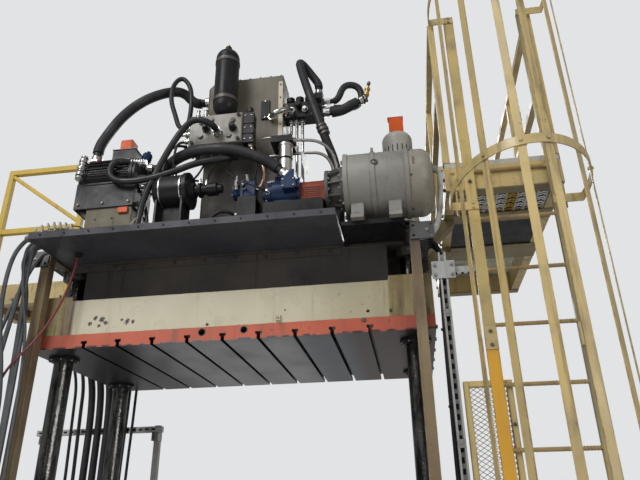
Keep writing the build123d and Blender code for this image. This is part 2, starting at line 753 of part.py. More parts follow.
# Filter canister under its head, which is bolted to the front of the tank.
filter_x = 340.0
filter_radius = 43.0
filter_height = 215.0
filter_corner = 14.0
filter_collar = 5.0
filter_collar_height = 18.0
filter_head_edge = 8.0
filter_head_length = 140.0
filter_head_height = 50.0
filter_y = tank_front - 110.0
filter_top = crown_top + 655.0
filter_front = filter_y - filter_radius - filter_head_edge
filter_head_right = filter_x + filter_radius + filter_head_edge
with BuildPart() as filter_head:
    with BuildSketch(Plane.XY.offset(filter_top)):
        with Locations((filter_head_right, filter_front)):
            Rectangle(filter_head_length, tank_front - filter_front, align=(Align.MAX, Align.MIN))
    extrude(amount=filter_head_height)
    chamfer(filter_head.faces().sort_by(Axis.Z)[-1].edges(), length=manifold_edge)
filter_head.part.label = "filter_head"
export_step(filter_head.part, "parts/filter_head.step")
with BuildPart() as filter_bowl:
    with BuildSketch(Plane.XY.offset(filter_top - filter_height)):
        with Locations((filter_x, filter_y)):
            Circle(filter_radius)
    extrude(amount=filter_height)
    fillet(filter_bowl.faces().sort_by(Axis.Z)[0].edges(), radius=filter_corner)
    with BuildSketch(Plane.XY.offset(filter_top - filter_collar_height)):
        with Locations((filter_x, filter_y)):
            Circle(filter_radius + filter_collar)
    extrude(amount=filter_collar_height)
filter_bowl.part.label = "filter_bowl"
export_step(filter_bowl.part, "parts/filter_bowl.step")

# Gear pump on its stand.
gear_pump_length = 84.0
gear_pump_width = 100.0
gear_pump_height = 120.0
gear_pump_corner = 14.0
gear_pump_flange = 8.0
with BuildPart() as gear_pump:
    with BuildSketch(Plane.YZ.offset(gear_pump_x - gear_pump_length / 2)):
        with Locations((motor_axis_y, gear_stand_top + gear_pump_height / 2)):
            RectangleRounded(gear_pump_width - 2 * gear_pump_flange, gear_pump_height, gear_pump_corner)
    extrude(amount=gear_pump_length)
    with BuildSketch(Plane.YZ.offset(gear_pump_x - gear_pump_length / 2)):
        with Locations((motor_axis_y, gear_stand_top + gear_pump_height / 2)):
            Rectangle(gear_pump_width, gear_pump_height)
    extrude(amount=2 * gear_pump_flange)
gear_pump.part.label = "gear_pump"
export_step(gear_pump.part, "parts/gear_pump.step")

# Circulation motor on a base box at the left: shell, end bells and a saddle.
left_box_left = -845.0
left_box_right = -560.0
left_box_depth = 220.0
left_box_height = 335.0
left_motor_radius = 135.0
left_motor_left = -930.0
left_motor_right = -545.0
left_motor_bell = 58.0
left_motor_step = 8.0
left_motor_edge = 16.0
left_port_x = -898.0
left_port_radius = 44.0
left_port_rise = 20.0
left_saddle_length = 180.0
left_saddle_depth = 190.0
left_saddle_rise = 95.0
left_box_top = tray_floor_top + left_box_height
left_motor_z = left_box_top + left_motor_radius + 20.0
left_port_top = left_motor_z + left_motor_radius + left_port_rise
left_motor_x = (left_box_left + left_box_right) / 2
with BuildPart() as left_box:
    with BuildSketch(Plane.XY.offset(tray_floor_top)):
        with Locations((left_motor_x, motor_axis_y)):
            Rectangle(left_box_right - left_box_left, left_box_depth)
    extrude(amount=left_box_height)
left_box.part.label = "base_box_left"
export_step(left_box.part, "parts/base_box_left.step")
left_axis = Axis((0, motor_axis_y, left_motor_z), (1, 0, 0))
with BuildPart() as left_motor:
    with BuildSketch(Plane.XY.offset(left_motor_z)):
        with BuildLine():
            rim = motor_axis_y + left_motor_radius
            Polyline(
                (left_motor_left, motor_axis_y),
                (left_motor_left, rim - left_motor_edge),
                (left_motor_left + left_motor_edge, rim),
                (left_motor_left + left_motor_bell, rim),
                (left_motor_left + left_motor_bell, rim - left_motor_step),
                (left_motor_right - left_motor_bell, rim - left_motor_step),
                (left_motor_right - left_motor_bell, rim),
                (left_motor_right - left_motor_edge, rim),
                (left_motor_right, rim - left_motor_edge),
                (left_motor_right, motor_axis_y),
                close=True,
            )
        make_face()
    revolve(axis=left_axis)
    with BuildSketch(Plane.XY.offset(left_box_top)):
        with Locations((left_motor_x, motor_axis_y)):
            Rectangle(left_saddle_length, left_saddle_depth)
    extrude(amount=left_saddle_rise)
    with BuildSketch(Plane.XY.offset(left_motor_z)):
        with Locations((left_port_x, motor_axis_y)):
            Circle(left_port_radius)
    extrude(amount=left_motor_radius + left_port_rise)
left_motor.part.label = "left_motor"
export_step(left_motor.part, "parts/left_motor.step")

# Terminal box saddled on the left motor.
terminal_x = -650.0
terminal_length = 150.0
terminal_depth = 110.0
terminal_height = 100.0
terminal_drop = 17.0
terminal_seat = left_motor_radius - left_motor_step
terminal_bottom = left_motor_z + terminal_seat - terminal_drop
terminal_top = terminal_bottom + terminal_height
with BuildPart() as terminal_box:
    with BuildSketch(Plane.XY.offset(terminal_bottom)):
        with Locations((terminal_x - terminal_length / 4, motor_axis_y)):
            Rectangle(terminal_length, terminal_depth)
    extrude(amount=terminal_height)
    with BuildSketch(Plane.YZ.offset(terminal_x - 2 * terminal_length)):
        with Locations((motor_axis_y, left_motor_z)):
            Circle(terminal_seat)
    extrude(amount=4 * terminal_length, mode=Mode.SUBTRACT)
terminal_box.part.label = "terminal_box"
export_step(terminal_box.part, "parts/terminal_box.step")

# Upright pump and its motor at the right of the crown.
upright_x = column_x - 10.0
upright_pump_radius = 95.0
upright_pump_height = 300.0
upright_plate = 220.0
upright_plate_thickness = 20.0
upright_radius = 108.0
upright_height = 745.0
upright_dome = 60.0
upright_flange = 24.0
upright_pump_top = crown_top + upright_pump_height
upright_top = upright_pump_top + upright_height
with BuildPart() as upright_pump:
    with BuildSketch(Plane.XY.offset(crown_top)):
        with Locations((upright_x, 0)):
            Circle(upright_pump_radius)
    extrude(amount=upright_pump_height)
    with BuildSketch(Plane.XY.offset(crown_top)):
        with Locations((upright_x, 0)):
            RectangleRounded(upright_plate, upright_plate, tank_corner)
    extrude(amount=upright_plate_thickness)
upright_pump.part.label = "upright_pump"
export_step(upright_pump.part, "parts/upright_pump.step")
with BuildPart() as upright_motor:
    with BuildSketch(Plane.XY.offset(upright_pump_top)):
        with Locations((upright_x, 0)):
            Circle(upright_radius)
    extrude(amount=upright_height)
    fillet(upright_motor.faces().sort_by(Axis.Z)[-1].edges(), radius=upright_dome)
    with BuildSketch(Plane.XY.offset(upright_pump_top)):
        with Locations((upright_x, 0)):
            Circle(upright_radius + left_motor_step)
    extrude(amount=upright_flange)
upright_motor.part.label = "upright_motor"
export_step(upright_motor.part, "parts/upright_motor.step")

# Switch boxes: one on the upright motor and one on the terminal box.
upright_box = (84.0, 60.0, 150.0)
upright_box_shift = 12.0
left_switch_box = (78.0, 80.0, 84.0)
left_switch_x = terminal_x - terminal_length / 4
with BuildPart() as switch_boxes:
    with BuildSketch(Plane.XY.offset(upright_top)):
        with Locations((upright_x + upright_box_shift, 0)):
            Rectangle(upright_box[0], upright_box[1])
    extrude(amount=upright_box[2])
    with BuildSketch(Plane.XY.offset(terminal_top)):
        with Locations((left_switch_x, motor_axis_y)):
            Rectangle(left_switch_box[0], left_switch_box[1])
    extrude(amount=left_switch_box[2])
    chamfer(switch_boxes.faces().sort_by(Axis.Z)[-1].edges(), length=manifold_edge)
switch_boxes.part.label = "switch_boxes"
export_step(switch_boxes.part, "parts/switch_boxes.step")

# Front guard posts: square tube with a foot plate and a top arm under the crown plate.
post_outset = 35.0
post_size = 55.0
post_wall = 4.0
post_setback = 30.0
post_foot = 12.0
post_arm = 12.0
post_reach = 24.0
post_foot_width = 115.0
post_x = column_x + post_outset
post_rear = -platen_depth / 2 - post_setback
post_front = post_rear - post_size
with BuildPart() as posts:
    with BuildSketch():
        with Locations((-post_x, -platen_depth / 2), (post_x, -platen_depth / 2)):
            Rectangle(post_foot_width, post_foot_width, align=(Align.CENTER, Align.MAX))
    extrude(amount=post_foot)
    with BuildSketch(Plane.XY.offset(post_foot)):
        with Locations((-post_x, post_rear), (post_x, post_rear)):
            Rectangle(post_size, post_size, align=(Align.CENTER, Align.MAX))
        with Locations((-post_x, post_rear - post_wall), (post_x, post_rear - post_wall)):
            Rectangle(
                post_size - 2 * post_wall,
                post_size - 2 * post_wall,
                align=(Align.CENTER, Align.MAX),
                mode=Mode.SUBTRACT,
            )
    extrude(amount=crown_underside - post_arm - post_foot)
    with BuildSketch(Plane.XY.offset(crown_underside - post_arm)):
        with Locations((-post_x, post_front), (post_x, post_front)):
            Rectangle(post_size, crown_front + post_reach - post_front, align=(Align.CENTER, Align.MIN))
    extrude(amount=post_arm)
posts.part.label = "guard_posts"
export_step(posts.part, "parts/guard_posts.step")

# Drilled plates on the heads of the posts.
post_plate_width = 130.0
post_plate_height = 100.0
post_plate_drop = 20.0
post_plate_thickness = 10.0
plate_hole = 16.0
post_plate_holes = (96.0, 60.0)
post_plate_shift = 45.0
with BuildPart() as post_plates:
    with BuildSketch(Plane.XZ.offset(-post_front)):
        for post_side in (-1, 1):
            with Locations((post_side * (post_x + post_plate_shift), crown_underside - post_plate_drop)):
                Rectangle(post_plate_width, post_plate_height)
                with GridLocations(post_plate_holes[0], post_plate_holes[1], 2, 2):
                    Circle(plate_hole / 2, mode=Mode.SUBTRACT)
    extrude(amount=post_plate_thickness)
post_plates.part.label = "post_plates"
export_step(post_plates.part, "parts/post_plates.step")

# Strut channel at the right of the press, open to the front between two lips.
strut_size = 41.0
strut_wall = 2.5
strut_x = 1224.0
strut_setback = 5.0
strut_drop = 140.0
strut_lip = 10.0
strut_rear = -platen_depth / 2 - strut_setback
strut_top = crown_underside - strut_drop
with BuildPart() as strut:
    with BuildSketch():
        with Locations((strut_x, strut_rear)):
            Rectangle(strut_size, strut_size, align=(Align.CENTER, Align.MAX))
        with Locations((strut_x, strut_rear - strut_wall)):
            Rectangle(
                strut_size - 2 * strut_wall,
                strut_size - 2 * strut_wall,
                align=(Align.CENTER, Align.MAX),
                mode=Mode.SUBTRACT,
            )
            Rectangle(
                strut_size - 2 * strut_lip,
                strut_size,
                align=(Align.CENTER, Align.MAX),
                mode=Mode.SUBTRACT,
            )
    extrude(amount=strut_top)
strut.part.label = "strut"
export_step(strut.part, "parts/strut.step")

# Right service platform: two brackets on the crown plate and a frame of three bays.
platform_edge = 120.0
platform_left = crown_plate_width / 2 + platform_edge
platform_width = 655.0
platform_setback = 17.0
platform_front = -platen_depth / 2 - platform_setback
platform_rear = 1210.0
platform_beam = 60.0
platform_cross = (-250.0, 60.0)
platform_wide_cross = (315.0, 190.0)
platform_rise = 210.0
platform_beam_height = 150.0
platform_bottom = crown_top + platform_rise
platform_top = platform_bottom + platform_beam_height
bracket_left = 1000.0
bracket_y = 220.0
bracket_thickness = 80.0
bracket_tip = 30.0
platform_bays = (
    (platform_front + platform_beam, platform_cross[0] - platform_cross[1] / 2),
    (platform_cross[0] + platform_cross[1] / 2, platform_wide_cross[0] - platform_wide_cross[1] / 2),
    (platform_wide_cross[0] + platform_wide_cross[1] / 2, platform_rear - platform_beam),
)
with BuildPart() as platform:
    with BuildSketch(Plane.XY.offset(platform_bottom)):
        with Locations((platform_left, platform_front)):
            Rectangle(platform_width, platform_rear - platform_front, align=(Align.MIN, Align.MIN))
        for bay_front, bay_rear in platform_bays:
            with Locations((platform_left + platform_beam, bay_front)):
                Rectangle(
                    platform_width - 2 * platform_beam,
                    bay_rear - bay_front,
                    align=(Align.MIN, Align.MIN),
                    mode=Mode.SUBTRACT,
                )
    extrude(amount=platform_beam_height)
platform.part.label = "platform_frame"
export_step(platform.part, "parts/platform_frame.step")
with BuildPart() as brackets:
    for side in (-1, 1):
        with BuildSketch(Plane.XZ.offset(bracket_thickness / 2 - side * bracket_y)):
            with BuildLine():
                Polyline(
                    (bracket_left, crown_top),
                    (crown_plate_width / 2, crown_top),
                    (platform_left + platform_beam, platform_bottom - bracket_tip),
                    (platform_left + platform_beam, platform_bottom),
                    (bracket_left, platform_bottom),
                    close=True,
                )
            make_face()
        extrude(amount=-bracket_thickness)
brackets.part.label = "platform_brackets"
export_step(brackets.part, "parts/platform_brackets.step")

# Deck of the right platform: grating at both ends and a floor plate between.
grating_thickness = 30.0
grating_bar = 6.0
grating_count_x = 8
front_grating_count = 6
rear_grating_count = 14
grating_panels = (
    (platform_front, platform_cross[0], front_grating_count),
    (platform_wide_cross[0], platform_rear, rear_grating_count),
)
grating_pitch_x = (platform_width - grating_bar) / grating_count_x
with BuildPart() as grating:
    for panel_front, panel_rear, panel_count in grating_panels:
        panel_pitch = (panel_rear - panel_front - grating_bar) / panel_count
        with BuildSketch(Plane.XY.offset(platform_top)):
            with Locations((platform_left + platform_width / 2, (panel_front + panel_rear) / 2)):
                Rectangle(platform_width, panel_rear - panel_front)
                with GridLocations(grating_pitch_x, panel_pitch, grating_count_x, panel_count):
                    Rectangle(
                        grating_pitch_x - grating_bar,
                        panel_pitch - grating_bar,
                        mode=Mode.SUBTRACT,
                    )
        extrude(amount=grating_thickness)
grating.part.label = "platform_grating"
export_step(grating.part, "parts/platform_grating.step")
with BuildPart() as floor_plate:
    with BuildSketch(Plane.XY.offset(platform_top)):
        with Locations((platform_left, platform_cross[0])):
            Rectangle(
                platform_width,
                platform_wide_cross[0] - platform_cross[0],
                align=(Align.MIN, Align.MIN),
            )
    extrude(amount=grating_thickness)
floor_plate.part.label = "platform_floor_plate"
export_step(floor_plate.part, "parts/platform_floor_plate.step")

# Guardrail on the right platform: posts and two rails on both sides and at the rear.
rail_tube = 40.0
rail_top_height = 1070.0
rail_mid_height = 540.0
deck_level = platform_top + grating_thickness
platform_right = platform_left + platform_width
platform_middle = (platform_front + platform_rear) / 2
with BuildPart() as railing:
    with BuildSketch(Plane.XY.offset(deck_level)):
        with Locations((platform_left + platform_width / 2, platform_middle)):
            with GridLocations(
                platform_width - rail_tube,
                (platform_rear - platform_front - rail_tube) / 2,
                2,
                3,
            ):
                Rectangle(rail_tube, rail_tube)
    extrude(amount=rail_top_height)
    for rail_height in (rail_mid_height, rail_top_height):
        with BuildSketch(Plane.XY.offset(deck_level + rail_height - rail_tube)):
            with Locations((platform_left + platform_width / 2, platform_middle)):
                with GridLocations(platform_width - rail_tube, 0, 2, 1):
                    Rectangle(rail_tube, platform_rear - platform_front)
            with Locations((platform_left, platform_rear)):
                Rectangle(platform_width, rail_tube, align=(Align.MIN, Align.MAX))
        extrude(amount=rail_tube)
railing.part.label = "guardrail_right"
export_step(railing.part, "parts/guardrail_right.step")

# Ladder: two channel rails against the platform and round rungs between them.
ladder_x = 1655.0
ladder_inner = 400.0
ladder_rail_width = 60.0
ladder_rail_depth = 25.0
ladder_rail_wall = 6.0
rung_pitch = 305.0
rung_count = 11
rung_radius = 12.0
ladder_rise = 1067.0
ladder_top = deck_level + ladder_rise
ladder_face = platform_front - ladder_rail_depth
with BuildPart() as ladder_rails:
    with BuildSketch():
        with Locations((ladder_x, ladder_face)):
            with GridLocations(ladder_inner + ladder_rail_width, 0, 2, 1):
                Rectangle(ladder_rail_width, ladder_rail_depth, align=(Align.CENTER, Align.MIN))
        with Locations((ladder_x, ladder_face + ladder_rail_wall)):
            with GridLocations(ladder_inner + ladder_rail_width, 0, 2, 1):
                Rectangle(
                    ladder_rail_width - 2 * ladder_rail_wall,
                    ladder_rail_depth,
                    align=(Align.CENTER, Align.MIN),
                    mode=Mode.SUBTRACT,
                )
    extrude(amount=ladder_top)
ladder_rails.part.label = "ladder_rails"
export_step(ladder_rails.part, "parts/ladder_rails.step")
with BuildPart() as rungs:
    with BuildSketch(Plane.YZ.offset(ladder_x - ladder_inner / 2)):
        with Locations((ladder_face + ladder_rail_depth / 2, rung_pitch * (rung_count + 1) / 2)):
            with GridLocations(0, rung_pitch, 1, rung_count):
                Circle(rung_radius)
    extrude(amount=ladder_inner)
rungs.part.label = "ladder_rungs"
export_step(rungs.part, "parts/ladder_rungs.step")

# Stay arm from the strut channel to the ladder, with its drilled plate on the channel.
stay_drop = 238.0
stay_thickness = 12.0
stay_plate_width = 122.0
stay_plate_height = 100.0
stay_plate_drop = 6.0
stay_plate_thickness = 6.0
stay_plate_holes = (90.0, 56.0)
stay_level = crown_underside - stay_drop
with BuildPart() as stay:
    with BuildSketch(Plane.XY.offset(stay_level - strut_size / 2)):
        with Locations((strut_x + strut_size / 2, platform_front + stay_thickness)):
            Rectangle(
                ladder_x - ladder_inner / 2 - strut_x - strut_size / 2,
                stay_thickness,
                align=(Align.MIN, Align.MAX),
            )
    extrude(amount=strut_size)
    with BuildSketch(Plane.XZ.offset(-strut_rear + strut_size)):
        with Locations((strut_x, stay_level - stay_plate_drop)):
            Rectangle(stay_plate_width, stay_plate_height)
            with GridLocations(stay_plate_holes[0], stay_plate_holes[1], 2, 2):
                Circle(plate_hole / 2, mode=Mode.SUBTRACT)
    extrude(amount=stay_plate_thickness)
stay.part.label = "ladder_stay"
export_step(stay.part, "parts/ladder_stay.step")

# Ladder cage: three hoops of flat bar, oval in plan, that end in front of the rails.
hoop_half_width = 362.0
hoop_half_depth = 550.0
hoop_setback = 83.0
hoop_band = 6.0
hoop_height = 50.0
cage_bottom = 1600.0
cage_middle_share = 0.528
cage_y = ladder_face - hoop_setback
cage_levels = (cage_bottom, cage_bottom + cage_middle_share * (ladder_top - cage_bottom), ladder_top)
hoop_end = hoop_half_width * (1 - (hoop_setback / hoop_half_depth) ** 2) ** 0.5
with BuildPart() as hoops:
    for cage_level in cage_levels:
        with BuildSketch(Plane.XY.offset(cage_level - hoop_height / 2)):
            with Locations((ladder_x, cage_y)):
                Ellipse(hoop_half_width, hoop_half_depth)
                Ellipse(hoop_half_width - hoop_band, hoop_half_depth - hoop_band, mode=Mode.SUBTRACT)
            with Locations((ladder_x, ladder_face)):
                Rectangle(
                    3 * hoop_half_width,
                    2 * hoop_half_depth,
                    align=(Align.CENTER, Align.MIN),
                    mode=Mode.SUBTRACT,
                )
            for side in (-1, 1):
                with Locations((ladder_x + side * (ladder_inner / 2 + hoop_end) / 2, ladder_face)):
                    Rectangle(hoop_end - ladder_inner / 2, hoop_band, align=(Align.CENTER, Align.MAX))
        extrude(amount=hoop_height)
hoops.part.label = "cage_hoops"
export_step(hoops.part, "parts/cage_hoops.step")

# Cage bars: upright flats set square to the inside of the hoops.
cage_bar_width = 40.0
cage_bar = 6.0
cage_bar_angles = (204.0, 232.0, 260.0, 280.0, 308.0, 336.0)
inner_width = hoop_half_width - hoop_band
inner_depth = hoop_half_depth - hoop_band
with BuildPart() as cage_bars:
    with BuildSketch(Plane.XY.offset(cage_bottom - hoop_height / 2)):
        for bar_angle in cage_bar_angles:
            across = cos(radians(bar_angle))
            along = sin(radians(bar_angle))
            slope = Vector(across / inner_width, along / inner_depth).normalized()
            bend = ((inner_width * along) ** 2 + (inner_depth * across) ** 2) ** 1.5 / (inner_width * inner_depth)
            bar_inset = cage_bar / 2 + cage_bar_width**2 / (8 * bend) + curve_gap
            bar_point = Vector(ladder_x + inner_width * across, cage_y + inner_depth * along) - slope * bar_inset
            with Locations(bar_point):
                Rectangle(cage_bar, cage_bar_width, rotation=Vector(1, 0).get_signed_angle(slope, Vector(0, 0, 1)))
    extrude(amount=ladder_top - cage_bottom + hoop_height)
cage_bars.part.label = "cage_bars"
export_step(cage_bars.part, "parts/cage_bars.step")

# Left service platform and its guardrail.
left_platform_width = 900.0
left_platform_front = 60.0
left_platform_rear = 500.0
left_beam_height = 70.0
left_floor = 8.0
left_platform_x = -crown_plate_width / 2 - left_platform_width
left_deck = crown_underside + left_beam_height + left_floor
with BuildPart() as left_platform:
    with BuildSketch(Plane.XY.offset(crown_underside)):
        with Locations((left_platform_x, left_platform_front)):
            Rectangle(
                left_platform_width,
                left_platform_rear - left_platform_front,
                align=(Align.MIN, Align.MIN),
            )
        with Locations((left_platform_x + platform_beam, left_platform_front + platform_beam)):
            Rectangle(
                left_platform_width - 2 * platform_beam,
                left_platform_rear - left_platform_front - 2 * platform_beam,
                align=(Align.MIN, Align.MIN),
                mode=Mode.SUBTRACT,
            )
    extrude(amount=left_beam_height)
    with BuildSketch(Plane.XY.offset(left_deck - left_floor)):
        with Locations((left_platform_x, left_platform_front)):
            Rectangle(
                left_platform_width,
                left_platform_rear - left_platform_front,
                align=(Align.MIN, Align.MIN),
            )
    extrude(amount=left_floor)
left_platform.part.label = "platform_left"
export_step(left_platform.part, "parts/platform_left.step")
left_rail_run = 690.0
with BuildPart() as left_railing:
    with BuildSketch(Plane.XY.offset(left_deck)):
        with Locations((left_platform_x + left_rail_run / 2, left_platform_front)):
            with GridLocations(left_rail_run - rail_tube, 0, 2, 1):
                Rectangle(rail_tube, rail_tube, align=(Align.CENTER, Align.MIN))
    extrude(amount=rail_top_height)
    for rail_height in (rail_mid_height, rail_top_height):
        with BuildSketch(Plane.XY.offset(left_deck + rail_height - rail_tube)):
            with Locations((left_platform_x, left_platform_front)):
                Rectangle(left_rail_run, rail_tube, align=(Align.MIN, Align.MIN))
        extrude(amount=rail_tube)
left_railing.part.label = "guardrail_left"
export_step(left_railing.part, "parts/guardrail_left.step")

# Side guard: a tube frame with a mesh panel beside the ladder.
side_guard_left = 1262.0
side_guard_width = 238.0
side_guard_height = 2164.0
side_guard_tube = 30.0
side_guard_mesh = 3.0
side_guard_y = platform_front + side_guard_tube / 2
with BuildPart() as side_guard:
    with BuildSketch(Plane.XZ.offset(side_guard_tube / 2 - side_guard_y)):
        with Locations((side_guard_left, 0)):
            Rectangle(side_guard_width, side_guard_height, align=(Align.MIN, Align.MIN))
        with Locations((side_guard_left + side_guard_tube, side_guard_tube)):
            Rectangle(
                side_guard_width - 2 * side_guard_tube,
                side_guard_height - 2 * side_guard_tube,
                align=(Align.MIN, Align.MIN),
                mode=Mode.SUBTRACT,
            )
    extrude(amount=-side_guard_tube)
    with BuildSketch(Plane.XZ.offset(side_guard_mesh / 2 - side_guard_y)):
        with Locations((side_guard_left + side_guard_tube, side_guard_tube)):
            Rectangle(
                side_guard_width - 2 * side_guard_tube,
                side_guard_height - 2 * side_guard_tube,
                align=(Align.MIN, Align.MIN),
            )
    extrude(amount=-side_guard_mesh)
side_guard.part.label = "side_guard"
export_step(side_guard.part, "parts/side_guard.step")

# Hose rack behind the press: two square posts, a strut rail and a lower shelf bar.
rack_posts = (-1800.0, -900.0)
rack_front = platen_depth / 2 + 140.0
rack_top = 2213.0
rack_rail_drop = 53.0
rack_rail_overhang = 50.0
rack_foot = 110.0
rack_foot_thickness = 8.0
rack_shelf_level = 300.0
rack_shelf_height = 40.0
rack_shelf_depth = 92.0
rack_shelf_top = rack_shelf_level + rack_shelf_height
with BuildPart() as rack:
    with BuildSketch():
        for rack_x in rack_posts:
            with Locations((rack_x, rack_front + strut_size / 2)):
                Rectangle(rack_foot, rack_foot)
    extrude(amount=rack_foot_thickness)
    with BuildSketch(Plane.XY.offset(rack_foot_thickness)):
        for rack_x in rack_posts:
            with Locations((rack_x, rack_front)):
                Rectangle(strut_size, strut_size, align=(Align.CENTER, Align.MIN))
    extrude(amount=rack_top - rack_foot_thickness)
    with BuildSketch(Plane.XY.offset(rack_top - rack_rail_drop)):
        with Locations((rack_posts[0] - rack_rail_overhang, rack_front)):
            Rectangle(
                rack_posts[1] - rack_posts[0] + 2 * rack_rail_overhang,
                strut_size,
                align=(Align.MIN, Align.MAX),
            )
    extrude(amount=strut_size)
    with BuildSketch(Plane.XY.offset(rack_shelf_level)):
        with Locations((rack_posts[0] - rack_rail_overhang, rack_front)):
            Rectangle(
                rack_posts[1] - rack_posts[0] + 2 * rack_rail_overhang,
                rack_shelf_depth,
                align=(Align.MIN, Align.MAX),
            )
    extrude(amount=rack_shelf_height)
rack.part.label = "hose_rack"
export_step(rack.part, "parts/hose_rack.step")

# Runs of hose, tube, conduit and cable. Each row holds the first port and its normal, the
# middle points, the last port and its normal, and the outside diameter.
hex_length = 18.0
ferrule_length = 27.0
hex_share = 0.72
ferrule_share = 0.62
lead_share = 1.5
bend_share = 0.45
bend_limit = 900.0
left_run = Vector(-1, 0, 0)
right_run = Vector(1, 0, 0)
front_run = Vector(0, -1, 0)
up_run = Vector(0, 0, 1)
down_run = Vector(0, 0, -1)
slope_run = Vector(-1, 0, 1).normalized()
rack_hose_x = (-1410.0, -1340.0, -1270.0, -1200.0)
rack_hose_y = 686.0
oil_runs = [
    (
        ((left_port_x, motor_axis_y, left_port_top), up_run),
        ((-868, -620, 3886), (-799, -590, 4054), (-683, -550, 4204), (-545, -500, 4298), (-440, -440, 4338)),
        ((tank_left, -400, 4245), left_run),
        56.0,
    ),
    (
        ((manifold_left, manifold_front + 60, manifold_top - 45), left_run),
        (
            (-412, -600, 4010),
            (-472, -570, 4170),
            (-476, -545, 4320),
            (-425, -520, 4402),
            (-362, -515, 4320),
            (-340, -520, 4200),
            (-335, -530, 4040),
        ),
        ((manifold_left, tank_front - 50, manifold_top - 45), left_run),
        32.0,
    ),
    (
        ((-490, -790, tray_floor_top), up_run),
        ((-470, -788, 3285), (-428, -778, 3430), (-362, -775, 3600), (-280, -785, 3745), (-190, -810, 3812)),
        ((-75, manifold_front, manifold_bottom + 75), front_run),
        40.0,
    ),
    (
        ((left_motor_right, motor_axis_y, left_motor_z + 75), right_run),
        ((-330, -690, 3612), (-180, -745, 3616), (3, -765, 3597), (130, -765, 3552), (235, -760, 3500)),
        ((suction_x - 10, suction_y, suction_top - 25), slope_run),
        55.0,
    ),
    (
        ((side_valve_right - side_block / 2, side_valve_y, side_valve_bottom + side_block_height), up_run),
        (
            (500, -396, 4360),
            (425, -420, 4475),
            (405, -490, 4440),
            (440, -522, 4290),
            (482, -525, 4130),
            (535, -520, 3950),
            (580, -505, 3780),
            (640, -440, 3620),
            (652, -400, 3400),
        ),
        ((650, -388, crown_top), up_run),
        44.0,
    ),
    (
        ((side_valve_right, side_valve_y + 25, side_valve_bottom + 156), right_run),
        ((700, -370, 4300), (795, -350, 4300), (828, -345, 4205), (785, -346, 4112)),
        ((side_valve_right, side_valve_y + 25, side_valve_bottom + 95), right_run),
        34.0,
    ),
    (
        ((side_valve_right, side_valve_y - 15, side_valve_bottom + 34), right_run),
        ((735, -420, 4070),),
        ((850, -425, 4118), Vector(-0.93, 0, -0.37).normalized()),
        44.0,
    ),
]
oil_runs += [
    (
        ((hose_x, left_platform_rear - platform_beam / 2, crown_underside), down_run),
        (
            (hose_x - 10, 520, 2720),
            (hose_x + 5, 628, 2520),
            (hose_x, 678, 2300),
            (hose_x, 683, 2000),
        ),
        ((hose_x, rack_hose_y, rack_shelf_top), up_run),
        38.0,
    )
    for hose_x in rack_hose_x
]
tube_runs = [
    (
        ((filter_head_right, filter_y - 10, filter_top + 25), right_run),
        ((560, -590, 3705), (640, -560, 3620), (655, -500, 3480), (620, -478, 3300)),
        ((600, -478, crown_top), up_run),
        20.0,
    ),
    (
        ((200, tank_front, 3675), front_run),
        (
            (242, -511, 3674),
            (440, -508, 3680),
            (560, -510, 3668),
            (622, -498, 3590),
            (628, -458, 3480),
            (592, -442, 3300),
        ),
        ((568, -440, crown_top), up_run),
        20.0,
    ),
    (
        ((225, tank_front, 3985), front_run),
        ((290, -560, 3990),),
        ((352, side_valve_y - side_valve_depth / 2, 4040), front_run),
        38.0,
    ),
    (
        ((manifold_right, -560, 3745), right_run),
        ((200, -562, 3792),),
        ((275, filter_y + 20, filter_top + filter_head_height), up_run),
        12.0,
    ),
    (
        ((gear_pump_x + gear_pump_length / 2, motor_axis_y, gear_stand_top + 80), right_run),
        ((222, motor_axis_y, 3450), (205, motor_axis_y, 3550)),
        ((stack_x + 12, stack_y, manifold_bottom), down_run),
        16.0,
    ),
]
tube_runs += [
    (
        ((riser_x, side_valve_y, side_valve_bottom), down_run),
        ((riser_x, side_valve_y + 8, 3500),),
        ((riser_x, side_valve_y, crown_top), up_run),
        22.0,
    )
    for riser_x in (338.0, 376.0, 414.0)
]
conduit_runs = [
    (
        ((tray_left, -800, tray_floor_top + 15), left_run),
        ((-1165, -790, 2940), (-1150, -770, 2850), (-1110, -750, 2650), (-1103, -747, 1500)),
        ((-1105, -745, 0), up_run),
        30.0,
    ),
    (
        ((tray_left, -900, tray_floor_top + 10), left_run),
        ((-1170, -895, 2900), (-1180, -880, 2600), (-1150, -800, 2300), (-1147, -750, 2000)),
        ((-1147, -748, 0), up_run),
        24.0,
    ),
    (
        ((fan_cover_end, motor_axis_y, motor_axis_z + 85), right_run),
        ((1262, -640, 3300), (1245, -645, 3130), (1215, -655, 3010)),
        ((post_x + post_size / 2, post_rear - post_size / 2, 2955), right_run),
        32.0,
    ),
]
cable_runs = [
    (
        ((crown_plate_width / 2, -460 + 35 * cable, crown_underside + 20), right_run),
        ((1240 + 6 * cable, -485 + 25 * cable, 2900), (1200 + 18 * cable, -560, 2700)),
        ((1185 + 24 * cable, -575, base_thickness), up_run),
        22.0,
    )
    for cable in range(3)
]
cable_runs += [
    (
        ((-880, -700, crown_underside), down_run),
        (
            (-905, -705, 2780),
            (-960, -710, 2620),
            (-1035, -745, 2450),
            (-1105, -775, 2360),
            (-1175, -775, 2240),
            (-1215, -765, 2050),
            (-1222, -752, 1700),
        ),
        ((-1225, -750, 0), up_run),
        14.0,
    ),
]


def run_points(run, fitting):
    """Corner points of a run, with a straight lead out of each port after its fitting."""
    (first, first_normal), middle, (last, last_normal), diameter = run
    start = Vector(*first) + first_normal * fitting
    end = Vector(*last) + last_normal * fitting
    lead = lead_share * diameter
    inner = [Vector(*point) for point in middle]
    return [start, start + first_normal * lead, *inner, end + last_normal * lead, end]


